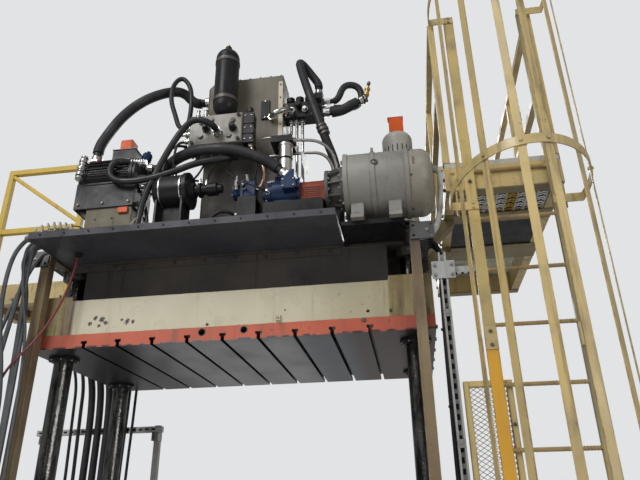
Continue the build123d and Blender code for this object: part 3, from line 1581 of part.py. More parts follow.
def corner_radii(points):
    """Largest round bends that leave a straight length between neighbouring corners."""
    radii = []
    for before, corner, after in zip(points, points[1:], points[2:]):
        turn = radians((corner - before).get_angle(after - corner))
        room = bend_share * min((corner - before).length, (after - corner).length)
        radii.append(min(bend_limit, room / tan(turn / 2)))
    return radii


fitting_length = hex_length + ferrule_length
swept_runs = (
    ("oil_hoses", oil_runs, fitting_length),
    ("steel_tubes", tube_runs, 0.0),
    ("conduits", conduit_runs, 0.0),
    ("cables", cable_runs, 0.0),
)
for run_name, runs, fitting in swept_runs:
    with BuildPart() as swept:
        for run in runs:
            corners = run_points(run, fitting)
            with BuildLine() as path:
                FilletPolyline(*corners, radius=corner_radii(corners))
            with BuildSketch(Plane(origin=corners[0], z_dir=corners[1] - corners[0])):
                Circle(run[3] / 2)
            sweep(path=path.wires()[0])
            bends = [round(radius) for radius in corner_radii(corners)]
            print(run_name, run[3], "length", round(path.wires()[0].length), "radii", bends)
    swept.part.label = run_name
    export_step(swept.part, "parts/" + run_name + ".step")

# Hose fittings: a hexagon against each port and a crimped ferrule round the hose end.
with BuildPart() as fittings:
    for first_port, _, last_port, diameter in oil_runs:
        for port, normal in (first_port, last_port):
            with BuildSketch(Plane(origin=port, z_dir=normal)):
                RegularPolygon(hex_share * diameter, 6)
            extrude(amount=hex_length)
            with BuildSketch(Plane(origin=Vector(*port) + normal * hex_length, z_dir=normal)):
                Circle(ferrule_share * diameter)
            extrude(amount=ferrule_length)
fittings.part.label = "hose_fittings"
export_step(fittings.part, "parts/hose_fittings.step")
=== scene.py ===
from math import cos, pi, radians, sin, tau

import bmesh
import bpy
import numpy as np
from bpy.props import FloatProperty, FloatVectorProperty, IntProperty, PointerProperty
from bpy.types import Operator, Panel, PropertyGroup
from mathutils import Matrix, Vector


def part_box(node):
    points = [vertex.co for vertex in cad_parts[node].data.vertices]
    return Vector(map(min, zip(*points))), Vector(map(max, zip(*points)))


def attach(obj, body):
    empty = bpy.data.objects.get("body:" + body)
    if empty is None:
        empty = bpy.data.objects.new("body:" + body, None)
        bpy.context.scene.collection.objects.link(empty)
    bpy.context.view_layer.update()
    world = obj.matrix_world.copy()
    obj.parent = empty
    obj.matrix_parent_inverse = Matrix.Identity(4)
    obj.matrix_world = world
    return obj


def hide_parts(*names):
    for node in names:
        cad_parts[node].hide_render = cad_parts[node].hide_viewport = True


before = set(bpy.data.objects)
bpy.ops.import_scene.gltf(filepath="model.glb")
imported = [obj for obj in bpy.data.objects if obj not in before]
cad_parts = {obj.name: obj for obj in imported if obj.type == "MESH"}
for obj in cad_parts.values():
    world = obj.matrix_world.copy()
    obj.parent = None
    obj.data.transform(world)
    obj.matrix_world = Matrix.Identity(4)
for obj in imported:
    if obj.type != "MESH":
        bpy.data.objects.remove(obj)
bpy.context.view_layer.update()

bl_info = {
    "name": "Hydraulic press looks",
    "version": (1, 0, 0),
    "blender": (4, 5, 0),
    "location": "View3D > Sidebar > Press",
    "description": "Builds the visible detail and the finishes of a four-post hydraulic press",
    "category": "Object",
}


# Shapes. A shape is an array of points and a list of face arrays, each of one side count.


def ring_faces(rows, count, base=0):
    """Quads between neighbouring rings: face (r, c) joins points c and c + 1 of rings r and r + 1."""
    start = base + np.arange(rows - 1)[:, None] * count + np.arange(count)[None]
    turn = base + np.arange(rows - 1)[:, None] * count + (np.arange(count)[None] + 1) % count
    return np.stack([start, turn, turn + count, start + count], -1).reshape(-1, 4)


def turned(profile, segments=24, phase=0.0):
    """Turns a profile about Z: point = (r cos a, r sin a, z) for each row and each equal step of a."""
    profile = np.asarray(profile, float)
    angle = phase + np.arange(segments) * tau / segments
    points = np.empty((len(profile), segments, 3))
    points[..., 0] = profile[:, :1] * np.cos(angle)
    points[..., 1] = profile[:, :1] * np.sin(angle)
    points[..., 2] = profile[:, 1:]
    last = (len(profile) - 1) * segments
    caps = np.stack([np.arange(segments)[::-1], last + np.arange(segments)])
    return points.reshape(-1, 3), [ring_faces(len(profile), segments), caps]


def loop_turned(profile, segments=48):
    """Turns a closed section about Z, such as a washer or a band: the last row joins the first."""
    profile = np.asarray(profile, float)
    rows = len(profile)
    angle = np.arange(segments) * tau / segments
    points = np.empty((rows, segments, 3))
    points[..., 0] = profile[:, :1] * np.cos(angle)
    points[..., 1] = profile[:, :1] * np.sin(angle)
    points[..., 2] = profile[:, 1:]
    row = np.arange(rows)[:, None] * segments
    after = (np.arange(rows)[:, None] + 1) % rows * segments
    step = np.arange(segments)[None]
    turn = (step + 1) % segments
    faces = np.stack([row + step, row + turn, after + turn, after + step], -1).reshape(-1, 4)
    return points.reshape(-1, 3), [faces]


def boxed(size, bevel=0.0):
    """Box about the origin with flat bevels: each corner has one point per face, set in by the bevel."""
    half = np.asarray(size, float) / 2
    bevel = min(bevel, 0.49 * float(half.min()) * 2)
    sign = np.array([[i, j, k] for i in (-1, 1) for j in (-1, 1) for k in (-1, 1)], float)
    if bevel <= 0:
        quads = np.array([[0, 1, 3, 2], [4, 6, 7, 5], [0, 4, 5, 1], [2, 3, 7, 6], [0, 2, 6, 4], [1, 5, 7, 3]])
        return sign * half, [quads]
    points = np.repeat((sign * (half - bevel))[:, None], 3, axis=1)
    axis = np.arange(3)
    points[:, axis, axis] = sign * half
    index = {tuple(s): n for n, s in enumerate(sign.astype(int).tolist())}
    quads = []
    for a in range(3):
        b, c = (a + 1) % 3, (a + 2) % 3
        for s in (-1, 1):
            corner = [[0, 0, 0] for _ in range(4)]
            for n, (u, v) in enumerate(((-1, -1), (1, -1), (1, 1), (-1, 1))):
                corner[n][a], corner[n][b], corner[n][c] = s, u, v
            face = [index[tuple(k)] * 3 + a for k in corner]
            quads.append(face if s > 0 else face[::-1])
            for t in (-1, 1):
                low = [0, 0, 0]
                high = [0, 0, 0]
                low[a], low[b], low[c] = s, t, -1
                high[a], high[b], high[c] = s, t, 1
                i, j = index[tuple(low)] * 3, index[tuple(high)] * 3
                edge = [i + a, i + b, j + b, j + a]
                quads.append(edge if s * t > 0 else edge[::-1])
    corners = np.arange(8)[:, None] * 3 + np.arange(3)[None]
    flip = sign.prod(1) < 0
    corners[flip] = corners[flip][:, ::-1]
    return points.reshape(-1, 3), [np.array(quads), corners]


def extruded(outline, depth):
    """Straight prism of a plane outline: the same points at z = 0 and at z = depth."""
    outline = np.asarray(outline, float)
    count = len(outline)
    low = np.column_stack([outline, np.zeros(count)])
    high = np.column_stack([outline, np.full(count, depth)])
    caps = np.stack([np.arange(count)[::-1], count + np.arange(count)])
    return np.vstack([low, high]), [ring_faces(2, count), caps]


def swept(path, outline):
    """Sweeps a plane outline along a path; each ring is square to the path's local direction."""
    path = np.asarray(path, float)
    outline = np.asarray(outline, float)
    run = np.gradient(path, axis=0)
    run /= np.linalg.norm(run, axis=1, keepdims=True)
    span = path.max(0) - path.min(0)
    hint = np.eye(3)[int(np.argmin(span))]
    side = np.cross(run, hint)
    side /= np.linalg.norm(side, axis=1, keepdims=True)
    rise = np.cross(side, run)
    points = path[:, None] + outline[None, :, :1] * side[:, None] + outline[None, :, 1:] * rise[:, None]
    last = (len(path) - 1) * len(outline)
    ends = np.arange(len(outline))
    return points.reshape(-1, 3), [ring_faces(len(path), len(outline)), np.stack([ends[::-1], last + ends])]


def circle(radius, segments=12, phase=0.0):
    """Points of a regular polygon, in order round the circle."""
    angle = phase + np.arange(segments) * tau / segments
    return radius * np.column_stack([np.cos(angle), np.sin(angle)])


def rounded(width, height, radius, steps=4):
    """Rectangle with arcs of the given radius at its corners."""
    angle = np.linspace(0, pi / 2, steps + 1)
    arc = radius * np.column_stack([np.cos(angle), np.sin(angle)])
    inner = np.array([width / 2 - radius, height / 2 - radius])
    quarters = []
    for turn, corner in enumerate(((1, 1), (-1, 1), (-1, -1), (1, -1))):
        c, s = round(cos(turn * pi / 2)), round(sin(turn * pi / 2))
        quarters.append(arc @ np.array([[c, s], [-s, c]]) + inner * corner)
    return np.vstack(quarters)


def hex_head(across, height):
    """Hexagon bolt head on a round washer, with a chamfered top."""
    r = across / 2 / cos(pi / 6)
    head = turned([(r, 0.15 * height), (r, 0.85 * height), (0.86 * r, height)], 6)
    washer = turned([(1.12 * r, 0), (1.12 * r, 0.15 * height)], 18)
    return joined(head, washer)


def socket_head(diameter, height):
    """Round screw head with a hollow in its top."""
    r = diameter / 2
    rows = [(r, 0), (r, 0.85 * height), (0.9 * r, height), (0.55 * r, height), (0.5 * r, 0.45 * height)]
    return turned(rows, 16)


def joined(*shapes):
    """Several shapes as one: points stacked, and face numbers moved on by the points before them."""
    points, faces, total = [], [], 0
    for shape_points, shape_faces in shapes:
        points.append(shape_points)
        faces += [face + total for face in shape_faces]
        total += len(shape_points)
    return np.vstack(points), faces


def moved(shape, place):
    """A shape carried by one 4 x 4 transform."""
    points, faces = shape
    return points @ place[:3, :3].T + place[:3, 3], faces


def copies(shape, places):
    """A shape repeated at each of N transforms: points R p + t, faces moved on by whole copies."""
    points, faces = shape
    places = np.asarray(places, float).reshape(-1, 4, 4)
    spread = np.einsum("nij,pj->npi", places[:, :3, :3], points) + places[:, None, :3, 3]
    step = np.arange(len(places))[:, None, None] * len(points)
    return spread.reshape(-1, 3), [(face[None] + step).reshape(-1, face.shape[1]) for face in faces]


def facing(points, normal=(0, 0, 1), spin=0.0):
    """Transforms that stand local Z along the normal at each point, turned about it by spin."""
    points = np.atleast_2d(np.asarray(points, float))
    turn = Vector(normal).to_track_quat("Z", "Y").to_matrix() @ Matrix.Rotation(spin, 3, "Z")
    places = np.tile(np.eye(4), (len(points), 1, 1))
    places[:, :3, :3] = np.array(turn)
    places[:, :3, 3] = points
    return places


def shift(x, y, z):
    """Transform that carries a shape by x, y and z."""
    return np.array(Matrix.Translation((x, y, z)))


def spread(x, y, z):
    """Every combination of the given coordinates, as rows of points."""
    grid = np.meshgrid(x, y, z, indexing="ij")
    return np.column_stack([axis.ravel() for axis in grid])


def polar(centre, radius, count, normal="Z", phase=0.0):
    """Points evenly round a circle in the plane square to the named axis, X or Z."""
    first, second = circle(radius, count, phase).T
    empty = np.zeros(count)
    columns = (empty, first, second) if normal == "X" else (first, second, empty)
    return np.column_stack(columns) + np.asarray(centre, float)


def bar(low, high, bevel=0.0):
    """Bevelled box between two corners."""
    low, high = np.asarray(low, float), np.asarray(high, float)
    points, faces = boxed(high - low, bevel)
    return points + (low + high) / 2, faces


def weld_bead(start, end, radius=0.005, pitch=0.008):
    """Rippled bead between two points: the tube's radius swells once per pitch along its run."""
    start, end = np.asarray(start, float), np.asarray(end, float)
    length = float(np.linalg.norm(end - start))
    count = max(3, int(length / pitch * 2))
    share = np.linspace(0, 1, count)
    swell = radius * (1 + 0.18 * np.sin(np.arange(count) * pi) + 0.12 * np.cos(np.arange(count) * 2.3))
    run = (end - start) / length
    hint = np.array([0.0, 0.0, 1.0]) if abs(run[2]) < 0.9 else np.array([1.0, 0.0, 0.0])
    side = np.cross(run, hint)
    side /= np.linalg.norm(side)
    rise = np.cross(side, run)
    sides = 8
    ring = circle(1.0, sides)
    points = (start + share[:, None] * (end - start))[:, None] + swell[:, None, None] * (
        ring[None, :, :1] * side + ring[None, :, 1:] * rise
    )
    last = (count - 1) * sides
    ends = np.arange(sides)
    return points.reshape(-1, 3), [ring_faces(count, sides), np.stack([ends[::-1], last + ends])]


def banded(outline, wall, height):
    """Band round a plane outline: its inner side is the outline, its outer side stands off by the wall."""
    outline = np.asarray(outline, float)
    run = np.roll(outline, -1, 0) - np.roll(outline, 1, 0)
    away = np.column_stack([run[:, 1], -run[:, 0]])
    away /= np.linalg.norm(away, axis=1, keepdims=True)
    outer = outline + away * wall
    count = len(outline)
    rings = [(outline, 0.0), (outer, 0.0), (outer, height), (outline, height)]
    points = np.vstack([np.column_stack([ring, np.full(count, level)]) for ring, level in rings])
    faces = np.vstack([ring_faces(4, count), ring_faces(2, count)[:, [0, 1, 1, 0]]])
    row = np.arange(count)
    after = (row + 1) % count
    closing = np.stack([3 * count + row, 3 * count + after, after, row], -1)
    return points, [np.vstack([faces[: 3 * count], closing])]


def piece(name, shape, material, body="frame", crease=35.0, stands_for=()):
    """Makes one object from a shape, shades it smooth up to the crease angle and rides it on a body."""
    points, faces = shape
    loops = np.concatenate([face.ravel() for face in faces])
    sizes = np.concatenate([np.full(len(face), face.shape[1]) for face in faces])
    mesh = bpy.data.meshes.new(name)
    mesh.vertices.add(len(points))
    mesh.vertices.foreach_set("co", np.asarray(points, np.float32).ravel())
    mesh.loops.add(len(loops))
    mesh.loops.foreach_set("vertex_index", loops.astype(np.int32))
    mesh.polygons.add(len(sizes))
    mesh.polygons.foreach_set("loop_start", (np.cumsum(sizes) - sizes).astype(np.int32))
    mesh.update(calc_edges=True)
    mesh.validate()
    work = bmesh.new()
    work.from_mesh(mesh)
    bmesh.ops.recalc_face_normals(work, faces=work.faces)
    work.to_mesh(mesh)
    work.free()
    mesh.polygons.foreach_set("use_smooth", np.ones(len(mesh.polygons), bool))
    mesh.set_sharp_from_angle(angle=radians(crease))
    mesh.materials.append(MATERIALS[material])
    made = bpy.data.objects.new(name, mesh)
    bpy.context.scene.collection.objects.link(made)
    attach(made, body)
    if stands_for:
        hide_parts(*stands_for)
    return made


def tube_run(name, runs, material, stands_for=()):
    """Round tubes on smooth NURBS lines of order 3; each run is its control points and diameter."""
    made = None
    for number, (points, diameter) in enumerate(runs):
        line = bpy.data.curves.new(f"{name}_{number + 1}", "CURVE")
        line.dimensions = "3D"
        line.bevel_depth = diameter / 2
        line.bevel_resolution = 5
        line.resolution_u = 10
        line.use_fill_caps = True
        spline = line.splines.new("NURBS")
        spline.points.add(len(points) - 1)
        spline.points.foreach_set("co", np.column_stack([points, np.ones(len(points))]).ravel())
        spline.order_u = 3
        spline.use_endpoint_u = True
        line.materials.append(MATERIALS[material])
        made = bpy.data.objects.new(f"{name}_{number + 1}", line)
        bpy.context.scene.collection.objects.link(made)
        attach(made, "frame")
        if stands_for:
            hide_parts(*stands_for)
    return made


# Finishes. Every finish is a node network in object coordinates, so it stays put in all views.


class Network:
    """Node tree of one material, with short calls for the nodes that the finishes share."""

    def __init__(self, name):
        self.material = bpy.data.materials.new(name)
        self.material.use_nodes = True
        self.tree = self.material.node_tree
        self.tree.nodes.clear()
        self.shader = self.add("ShaderNodeBsdfPrincipled")
        output = self.add("ShaderNodeOutputMaterial")
        self.link(self.shader.outputs["BSDF"], output.inputs["Surface"])
        self.coords = self.add("ShaderNodeTexCoord").outputs["Object"]

    def add(self, kind, **settings):
        node = self.tree.nodes.new(kind)
        for key, value in settings.items():
            setattr(node, key, value)
        return node

    def link(self, source, target):
        self.tree.links.new(source, target)

    def fill(self, node, **values):
        """Sets plain values on a node's inputs; a name's underscore stands for its space."""
        for name, value in values.items():
            node.inputs[name.replace("_", " ")].default_value = value

    def feed(self, target, value):
        """Links a socket, or sets a plain value, on the target input."""
        if isinstance(value, bpy.types.NodeSocket):
            self.link(value, target)
        else:
            target.default_value = value

    def stretched(self, scale):
        """Object coordinates scaled by three factors, for streaks and brushed lines."""
        node = self.add("ShaderNodeMapping")
        self.link(self.coords, node.inputs["Vector"])
        node.inputs["Scale"].default_value = scale
        return node.outputs["Vector"]

    def noise(self, scale, detail=4.0, rough=0.55, vector=None):
        """Noise of the object coordinates, or of another vector."""
        node = self.add("ShaderNodeTexNoise")
        self.link(vector or self.coords, node.inputs["Vector"])
        self.fill(node, Scale=scale, Detail=detail, Roughness=rough)
        return node.outputs["Fac"]

    def band(self, value, low, high, floor=0.0, ceiling=1.0):
        """Smooth step: floor below low, ceiling above high."""
        node = self.add("ShaderNodeMapRange", interpolation_type="SMOOTHSTEP")
        self.feed(node.inputs["Value"], value)
        self.fill(node, From_Min=low, From_Max=high, To_Min=floor, To_Max=ceiling)
        return node.outputs["Result"]

    def maths(self, operation, first, second=0.0, clamp=True):
        """One step of arithmetic on two shares, held between 0 and 1 unless clamp is off."""
        node = self.add("ShaderNodeMath", operation=operation, use_clamp=clamp)
        self.feed(node.inputs[0], first)
        self.feed(node.inputs[1], second)
        return node.outputs[0]

    def times(self, first, second):
        return self.maths("MULTIPLY", first, second)

    def plus(self, first, second):
        return self.maths("ADD", first, second)

    def minus(self, first, second):
        return self.maths("SUBTRACT", first, second)

    def extent(self, value):
        """Distance from zero, in metres and not held to 1."""
        return self.maths("ABSOLUTE", value, clamp=False)

    def blend(self, share, first, second):
        """Mixes two colours by a share from 0 to 1."""
        node = self.add("ShaderNodeMix", data_type="RGBA")
        self.feed(node.inputs[0], share)
        for socket, value in ((node.inputs[6], first), (node.inputs[7], second)):
            self.feed(socket, value if isinstance(value, bpy.types.NodeSocket) else (*value, 1.0))
        return node.outputs[2]

    def axis(self, letter, source="Position"):
        """One component of the position or of the surface normal."""
        node = self.add("ShaderNodeSeparateXYZ")
        if source == "Position":
            self.link(self.coords, node.inputs[0])
        else:
            self.link(self.add("ShaderNodeNewGeometry").outputs["True Normal"], node.inputs[0])
        return node.outputs[letter]

    def edges(self, radius):
        """Share of wear at convex edges: how far a rounded normal leaves the face's own normal."""
        node = self.add("ShaderNodeBevel", samples=4)
        node.inputs["Radius"].default_value = radius
        dot = self.add("ShaderNodeVectorMath", operation="DOT_PRODUCT")
        self.link(node.outputs[0], dot.inputs[0])
        self.link(self.add("ShaderNodeNewGeometry").outputs["Normal"], dot.inputs[1])
        return self.maths("SUBTRACT", 1.0, dot.outputs["Value"])

    def bumped(self, height, strength, distance, round_edges=0.0015):
        """Bump on top of slightly rounded edges."""
        edge = self.add("ShaderNodeBevel", samples=4)
        edge.inputs["Radius"].default_value = round_edges
        node = self.add("ShaderNodeBump")
        self.fill(node, Strength=strength, Distance=distance)
        self.link(height, node.inputs["Height"])
        self.link(edge.outputs[0], node.inputs["Normal"])
        self.link(node.outputs["Normal"], self.shader.inputs["Normal"])

    def spot(self, centre, radius, wobble=1.1):
        """Ragged patch: 1 where the distance to its centre, shaken by noise, is under the radius."""
        node = self.add("ShaderNodeVectorMath", operation="DISTANCE")
        self.link(self.coords, node.inputs[0])
        node.inputs[1].default_value = centre
        shake = self.maths("MULTIPLY", self.noise(40.0, 6.0, 0.85), wobble * radius * 1.4, clamp=False)
        return self.band(self.maths("ADD", node.outputs["Value"], shake, clamp=False), radius,
                         1.12 * radius, 1.0, 0.0)

    def finish(self, colour, rough, metal=None):
        self.feed(self.shader.inputs["Base Color"], colour)
        self.feed(self.shader.inputs["Roughness"], rough)
        if metal is not None:
            self.feed(self.shader.inputs["Metallic"], metal)
        return self.material


DULL_SPECULAR = 0.16
BARE_BROWN = (0.1, 0.065, 0.045)


def painted(name, base, faded, grime, rough=0.42, streak=0.35, chip=0.5, bare=BARE_BROWN, zone=None):
    """Old machine paint: mottled colour, grime in runs down the sides, and chips at edges and knocks.

    A zone is an axis, the values where its darkening starts and is full, and its colour; on the tank this
    darkening is painted shade.
    """
    net = Network(name)
    dark, saturated = max(base) < 0.2, min(base) < 0.15 * max(base)
    if dark or saturated:
        net.shader.inputs["Specular IOR Level"].default_value = DULL_SPECULAR
    colour = net.blend(net.band(net.noise(1.7, 5.0), 0.35, 0.68), base, faded)
    stain = net.band(net.noise(5.0, 6.0, 0.62), 0.5, 0.78)
    runs = net.band(net.noise(3.0, 5.0, 0.6, net.stretched((7.0, 7.0, 0.55))), 0.52, 0.8)
    dirt = net.times(net.plus(net.times(stain, 0.55), runs), streak)
    colour = net.blend(dirt, colour, grime)
    fleck = net.band(net.noise(38.0, 3.0, 0.7), 0.66, 0.7)
    fleck = net.times(fleck, net.band(net.noise(3.3, 2.0), 0.5, 0.62))
    worn = net.times(net.band(net.edges(0.007), 0.02, 0.12), net.band(net.noise(14.0, 5.0, 0.7), 0.47, 0.6))
    chips = net.times(net.plus(fleck, worn), chip)
    colour = net.blend(chips, colour, bare)
    if zone:
        letter, start, full, zone_colour = zone
        place = net.extent(net.axis(letter)) if letter == "X" else net.axis(letter)
        reach = net.band(place, min(start, full), max(start, full), float(start > full), float(full > start))
        # Darker along the zone's axis; on the tank's lower part this darkening is painted shade.
        zone_share = net.times(reach,
                           net.band(net.noise(2.6, 4.0, 0.55, net.stretched((4.0, 4.0, 0.6))), 0.15, 0.75))
        colour = net.blend(zone_share, colour, zone_colour)
    shine = net.band(net.noise(9.0, 4.0), 0.3, 0.75, rough - 0.08, rough + 0.16)
    shine = net.plus(shine, net.times(dirt, 0.25))
    height = net.minus(net.noise(90.0, 2.0), net.times(chips, 0.8))
    net.bumped(height, 0.25, 0.0012)
    return net.finish(colour, shine)


def brushed(name, base, dark, rough=0.32, scratch=(2.0, 60.0, 2.0), stain=0.4, lines=0.18):
    """Machined or rolled steel: fine lines one way, and patches of oil or oxide."""
    net = Network(name)
    fine = net.noise(22.0, 4.0, 0.7, net.stretched(scratch))
    patch = net.band(net.noise(4.5, 6.0, 0.6), 0.4, 0.72)
    spots = net.band(net.noise(21.0, 5.0, 0.65), 0.6, 0.74)
    share = net.times(net.plus(patch, net.times(spots, 0.7)), stain)
    colour = net.blend(share, base, dark)
    colour = net.blend(net.times(net.band(fine, 0.4, 0.7), 0.25), colour, dark)
    shine = net.plus(net.band(fine, 0.3, 0.7, rough - 0.08, rough + 0.1), net.times(share, 0.3))
    net.bumped(fine, lines, 0.0005)
    return net.finish(colour, shine, 0.92)


def column_finish():
    """Hard chrome filmed with old oil, its base colours darkened as painted reflection of dark surroundings:
    fine ripples break each highlight into a chain of glints.
    """
    net = Network("oily_column_painted_reflection")
    film = net.band(net.noise(5.0, 6.0, 0.65, net.stretched((5.0, 5.0, 1.0))), 0.34, 0.66)
    # The dark base colours are partly the oil film and partly painted reflection of dark surroundings.
    colour = net.blend(film, (0.2, 0.195, 0.185), (0.018, 0.017, 0.016))
    fine = net.noise(26.0, 3.0, 0.6, net.stretched((1.0, 1.0, 1.6)))
    net.bumped(fine, 0.55, 0.004)
    return net.finish(colour, net.band(film, 0.0, 1.0, 0.12, 0.26), 1.0)


def slide_plate_finish():
    """Slotted plate: orange paint on its upright edges, ground steel with oil patches underneath, painted
    reflection and shade in tones along the underside, and painted shade in the slots.
    """
    net = Network("slotted_plate")
    steel = net.blend(net.band(net.noise(2.6, 6.0, 0.6), 0.36, 0.7), (0.34, 0.335, 0.35), (0.17, 0.165, 0.18))
    ground = net.noise(30.0, 3.0, 0.7, net.stretched((40.0, 1.5, 1.0)))
    steel = net.blend(net.times(net.band(ground, 0.4, 0.7), 0.18), steel, (0.4, 0.39, 0.4))
    along = net.axis("X")
    # Tones along X on the ground underside are painted reflection and shade: darkest at the left end, bluish
    # on the right, dark red-brown at the far right.
    left = net.band(along, -0.75, -0.25, 0.96, 0.0)
    right = net.band(along, 0.28, 0.52, 0.0, 0.85)
    far_right_painted_reflection = net.band(along, 0.62, 0.76, 0.0, 0.96)
    steel = net.blend(left, steel, (0.045, 0.043, 0.047))
    steel = net.blend(right, steel, (0.075, 0.1, 0.125))
    steel = net.blend(far_right_painted_reflection, steel, (0.055, 0.03, 0.032))
    orange = net.blend(net.band(net.noise(2.5, 5.0), 0.35, 0.7), (0.56, 0.115, 0.05), (0.44, 0.085, 0.042))
    runs = net.band(net.noise(4.0, 5.0, 0.6, net.stretched((6.0, 6.0, 0.8))), 0.5, 0.75)
    orange = net.blend(net.times(runs, 0.55), orange, (0.16, 0.07, 0.045))
    shaded = net.band(net.extent(along), 0.75, 1.05)
    orange = net.blend(net.times(shaded, 0.7), orange, (0.27, 0.055, 0.035))
    upright = net.band(net.maths("ABSOLUTE", net.axis("Z", "Normal")), 0.3, 0.8, 1.0, 0.0)
    ends = net.band(net.extent(along), 1.15, 1.158)
    faces = net.band(net.extent(net.axis("Y")), 0.602, 0.608)
    # The upright slot walls go near-black: painted shade inside the T-slots.
    slots = net.times(upright, net.minus(1.0, net.plus(ends, faces)))
    steel = net.blend(slots, steel, (0.012, 0.011, 0.012))
    upright = net.times(upright, net.plus(ends, faces))
    knocks = net.band(net.noise(26.0, 4.0, 0.7), 0.6, 0.66)
    knocks = net.times(knocks, net.band(net.noise(2.8, 3.0), 0.48, 0.6))
    rough_edge = net.band(net.axis("Z"), 2.452, 2.466, 1.0, 0.0)
    lower = net.times(rough_edge, net.band(net.noise(18.0, 4.0), 0.42, 0.56))
    worn = net.plus(knocks, lower)
    paint = net.times(upright, net.minus(1.0, worn))
    colour = net.blend(paint, steel, orange)
    colour = net.blend(net.times(net.times(upright, worn), 0.8), colour, (0.085, 0.06, 0.05))
    shine = net.band(paint, 0.0, 1.0, 0.34, 0.45)
    net.bumped(net.plus(ground, paint), 0.2, 0.0006)
    return net.finish(colour, shine, net.band(paint, 0.0, 1.0, 0.8, 0.0))


def rubber(name, base, rib_scale, rough):
    """Hose cover: fine wrap lines and a greasy sheen in patches."""
    net = Network(name)
    net.shader.inputs["Specular IOR Level"].default_value = 0.32
    wrap = net.add("ShaderNodeTexWave", wave_type="BANDS", bands_direction="Z")
    net.link(net.coords, wrap.inputs["Vector"])
    wrap.inputs["Scale"].default_value = rib_scale
    wrap.inputs["Distortion"].default_value = 1.0
    grease = net.band(net.noise(7.0, 5.0), 0.42, 0.68)
    colour = net.blend(grease, base, tuple(0.5 * channel + 0.02 for channel in base))
    net.bumped(net.plus(wrap.outputs["Fac"], net.noise(140.0, 2.0)), 0.18, 0.0006)
    return net.finish(colour, net.band(grease, 0.0, 1.0, rough, rough - 0.18))


def plain_metal(name, base, dark, rough, stain=0.35):
    """Bright plated or cast metal with dull patches."""
    net = Network(name)
    patch = net.band(net.noise(24.0, 5.0, 0.6), 0.42, 0.72)
    colour = net.blend(net.times(patch, stain), base, dark)
    net.bumped(net.noise(160.0, 2.0), 0.12, 0.0004)
    return net.finish(colour, net.band(patch, 0.0, 1.0, rough, rough + 0.2), 0.95)


def studio_surface(name, colour, rough):
    """Pale surface of the stage with a faint mottling."""
    net = Network(name)
    shade = net.blend(net.band(net.noise(0.6, 3.0), 0.3, 0.7), colour,
                      tuple(0.97 * channel for channel in colour))
    net.bumped(net.noise(30.0, 2.0), 0.02, 0.001, 0.0001)
    return net.finish(shade, rough)


def slide_cream(name, chip_marks):
    """The slide's cream paint: brown grease and red rust at the corner blocks, and knocked-off chips."""
    net = Network(name)
    colour = net.blend(net.band(net.noise(1.7, 5.0), 0.35, 0.68), (0.6, 0.55, 0.41), (0.52, 0.47, 0.32))
    along = net.extent(net.axis("X"))
    runs = net.noise(4.0, 6.0, 0.62, net.stretched((6.0, 6.0, 0.45)))
    right = net.band(net.axis("X"), 0.35, 0.8, 0.0, 0.65)
    colour = net.blend(right, colour, (0.33, 0.29, 0.17))
    ends = net.times(net.band(along, 0.78, 1.02), net.band(runs, 0.3, 0.62))
    colour = net.blend(ends, colour, (0.16, 0.105, 0.05))
    block = net.band(along, 0.912, 0.926)
    colour = net.blend(net.times(block, 0.8), colour, (0.27, 0.215, 0.095))
    low = net.band(net.axis("Z"), 2.52, 2.72, 0.95, 0.35)
    colour = net.blend(net.times(net.times(block, low), net.band(runs, 0.42, 0.66)), colour,
                       (0.075, 0.05, 0.025))
    side = net.axis("X")
    inner = net.times(net.band(side, -0.96, -0.925), net.band(side, -0.915, -0.895, 1.0, 0.0))
    colour = net.blend(net.times(inner, net.band(runs, 0.28, 0.5)), colour, (0.1, 0.06, 0.03))
    outer = net.times(net.band(side, -1.12, -1.02, 1.0, 0.0), net.band(net.axis("Z"), 2.55, 2.7))
    colour = net.blend(net.times(outer, 0.85), colour, (0.2, 0.055, 0.028))
    stain = net.band(net.noise(3.0, 6.0, 0.6, net.stretched((7.0, 7.0, 0.55))), 0.55, 0.82)
    colour = net.blend(net.times(stain, 0.5), colour, (0.21, 0.155, 0.09))
    chips = net.times(net.band(net.noise(44.0, 3.0, 0.7), 0.67, 0.7),
                      net.band(net.noise(3.3, 2.0), 0.5, 0.62))
    worn = net.times(net.band(net.edges(0.006), 0.02, 0.12), net.band(net.noise(14.0, 5.0, 0.7), 0.47, 0.6))
    chips = net.plus(chips, worn)
    for centre, radius in chip_marks:
        chips = net.plus(chips, net.spot(centre, radius))
    colour = net.blend(net.times(chips, 0.97), colour, (0.022, 0.018, 0.015))
    shine = net.band(net.noise(9.0, 4.0), 0.3, 0.75, 0.24, 0.5)
    net.bumped(net.minus(net.noise(90.0, 2.0), net.times(chips, 0.8)), 0.25, 0.0012)
    return net.finish(colour, shine)


CREAM = (0.62, 0.555, 0.42)
CHIP_MARKS = (
    ((-0.795, -0.61, 2.59), 0.036), ((-0.765, -0.61, 2.622), 0.042), ((-0.725, -0.61, 2.612), 0.046),
    ((-0.735, -0.61, 2.575), 0.03), ((-0.7, -0.61, 2.59), 0.036), ((-0.602, -0.61, 2.602), 0.036),
    ((-0.568, -0.61, 2.59), 0.05), ((-0.532, -0.61, 2.586), 0.036),
    ((0.35, -0.61, 2.6), 0.014), ((0.93, -0.61, 2.56), 0.03),
)
BROWN_GRIME = (0.115, 0.075, 0.045)
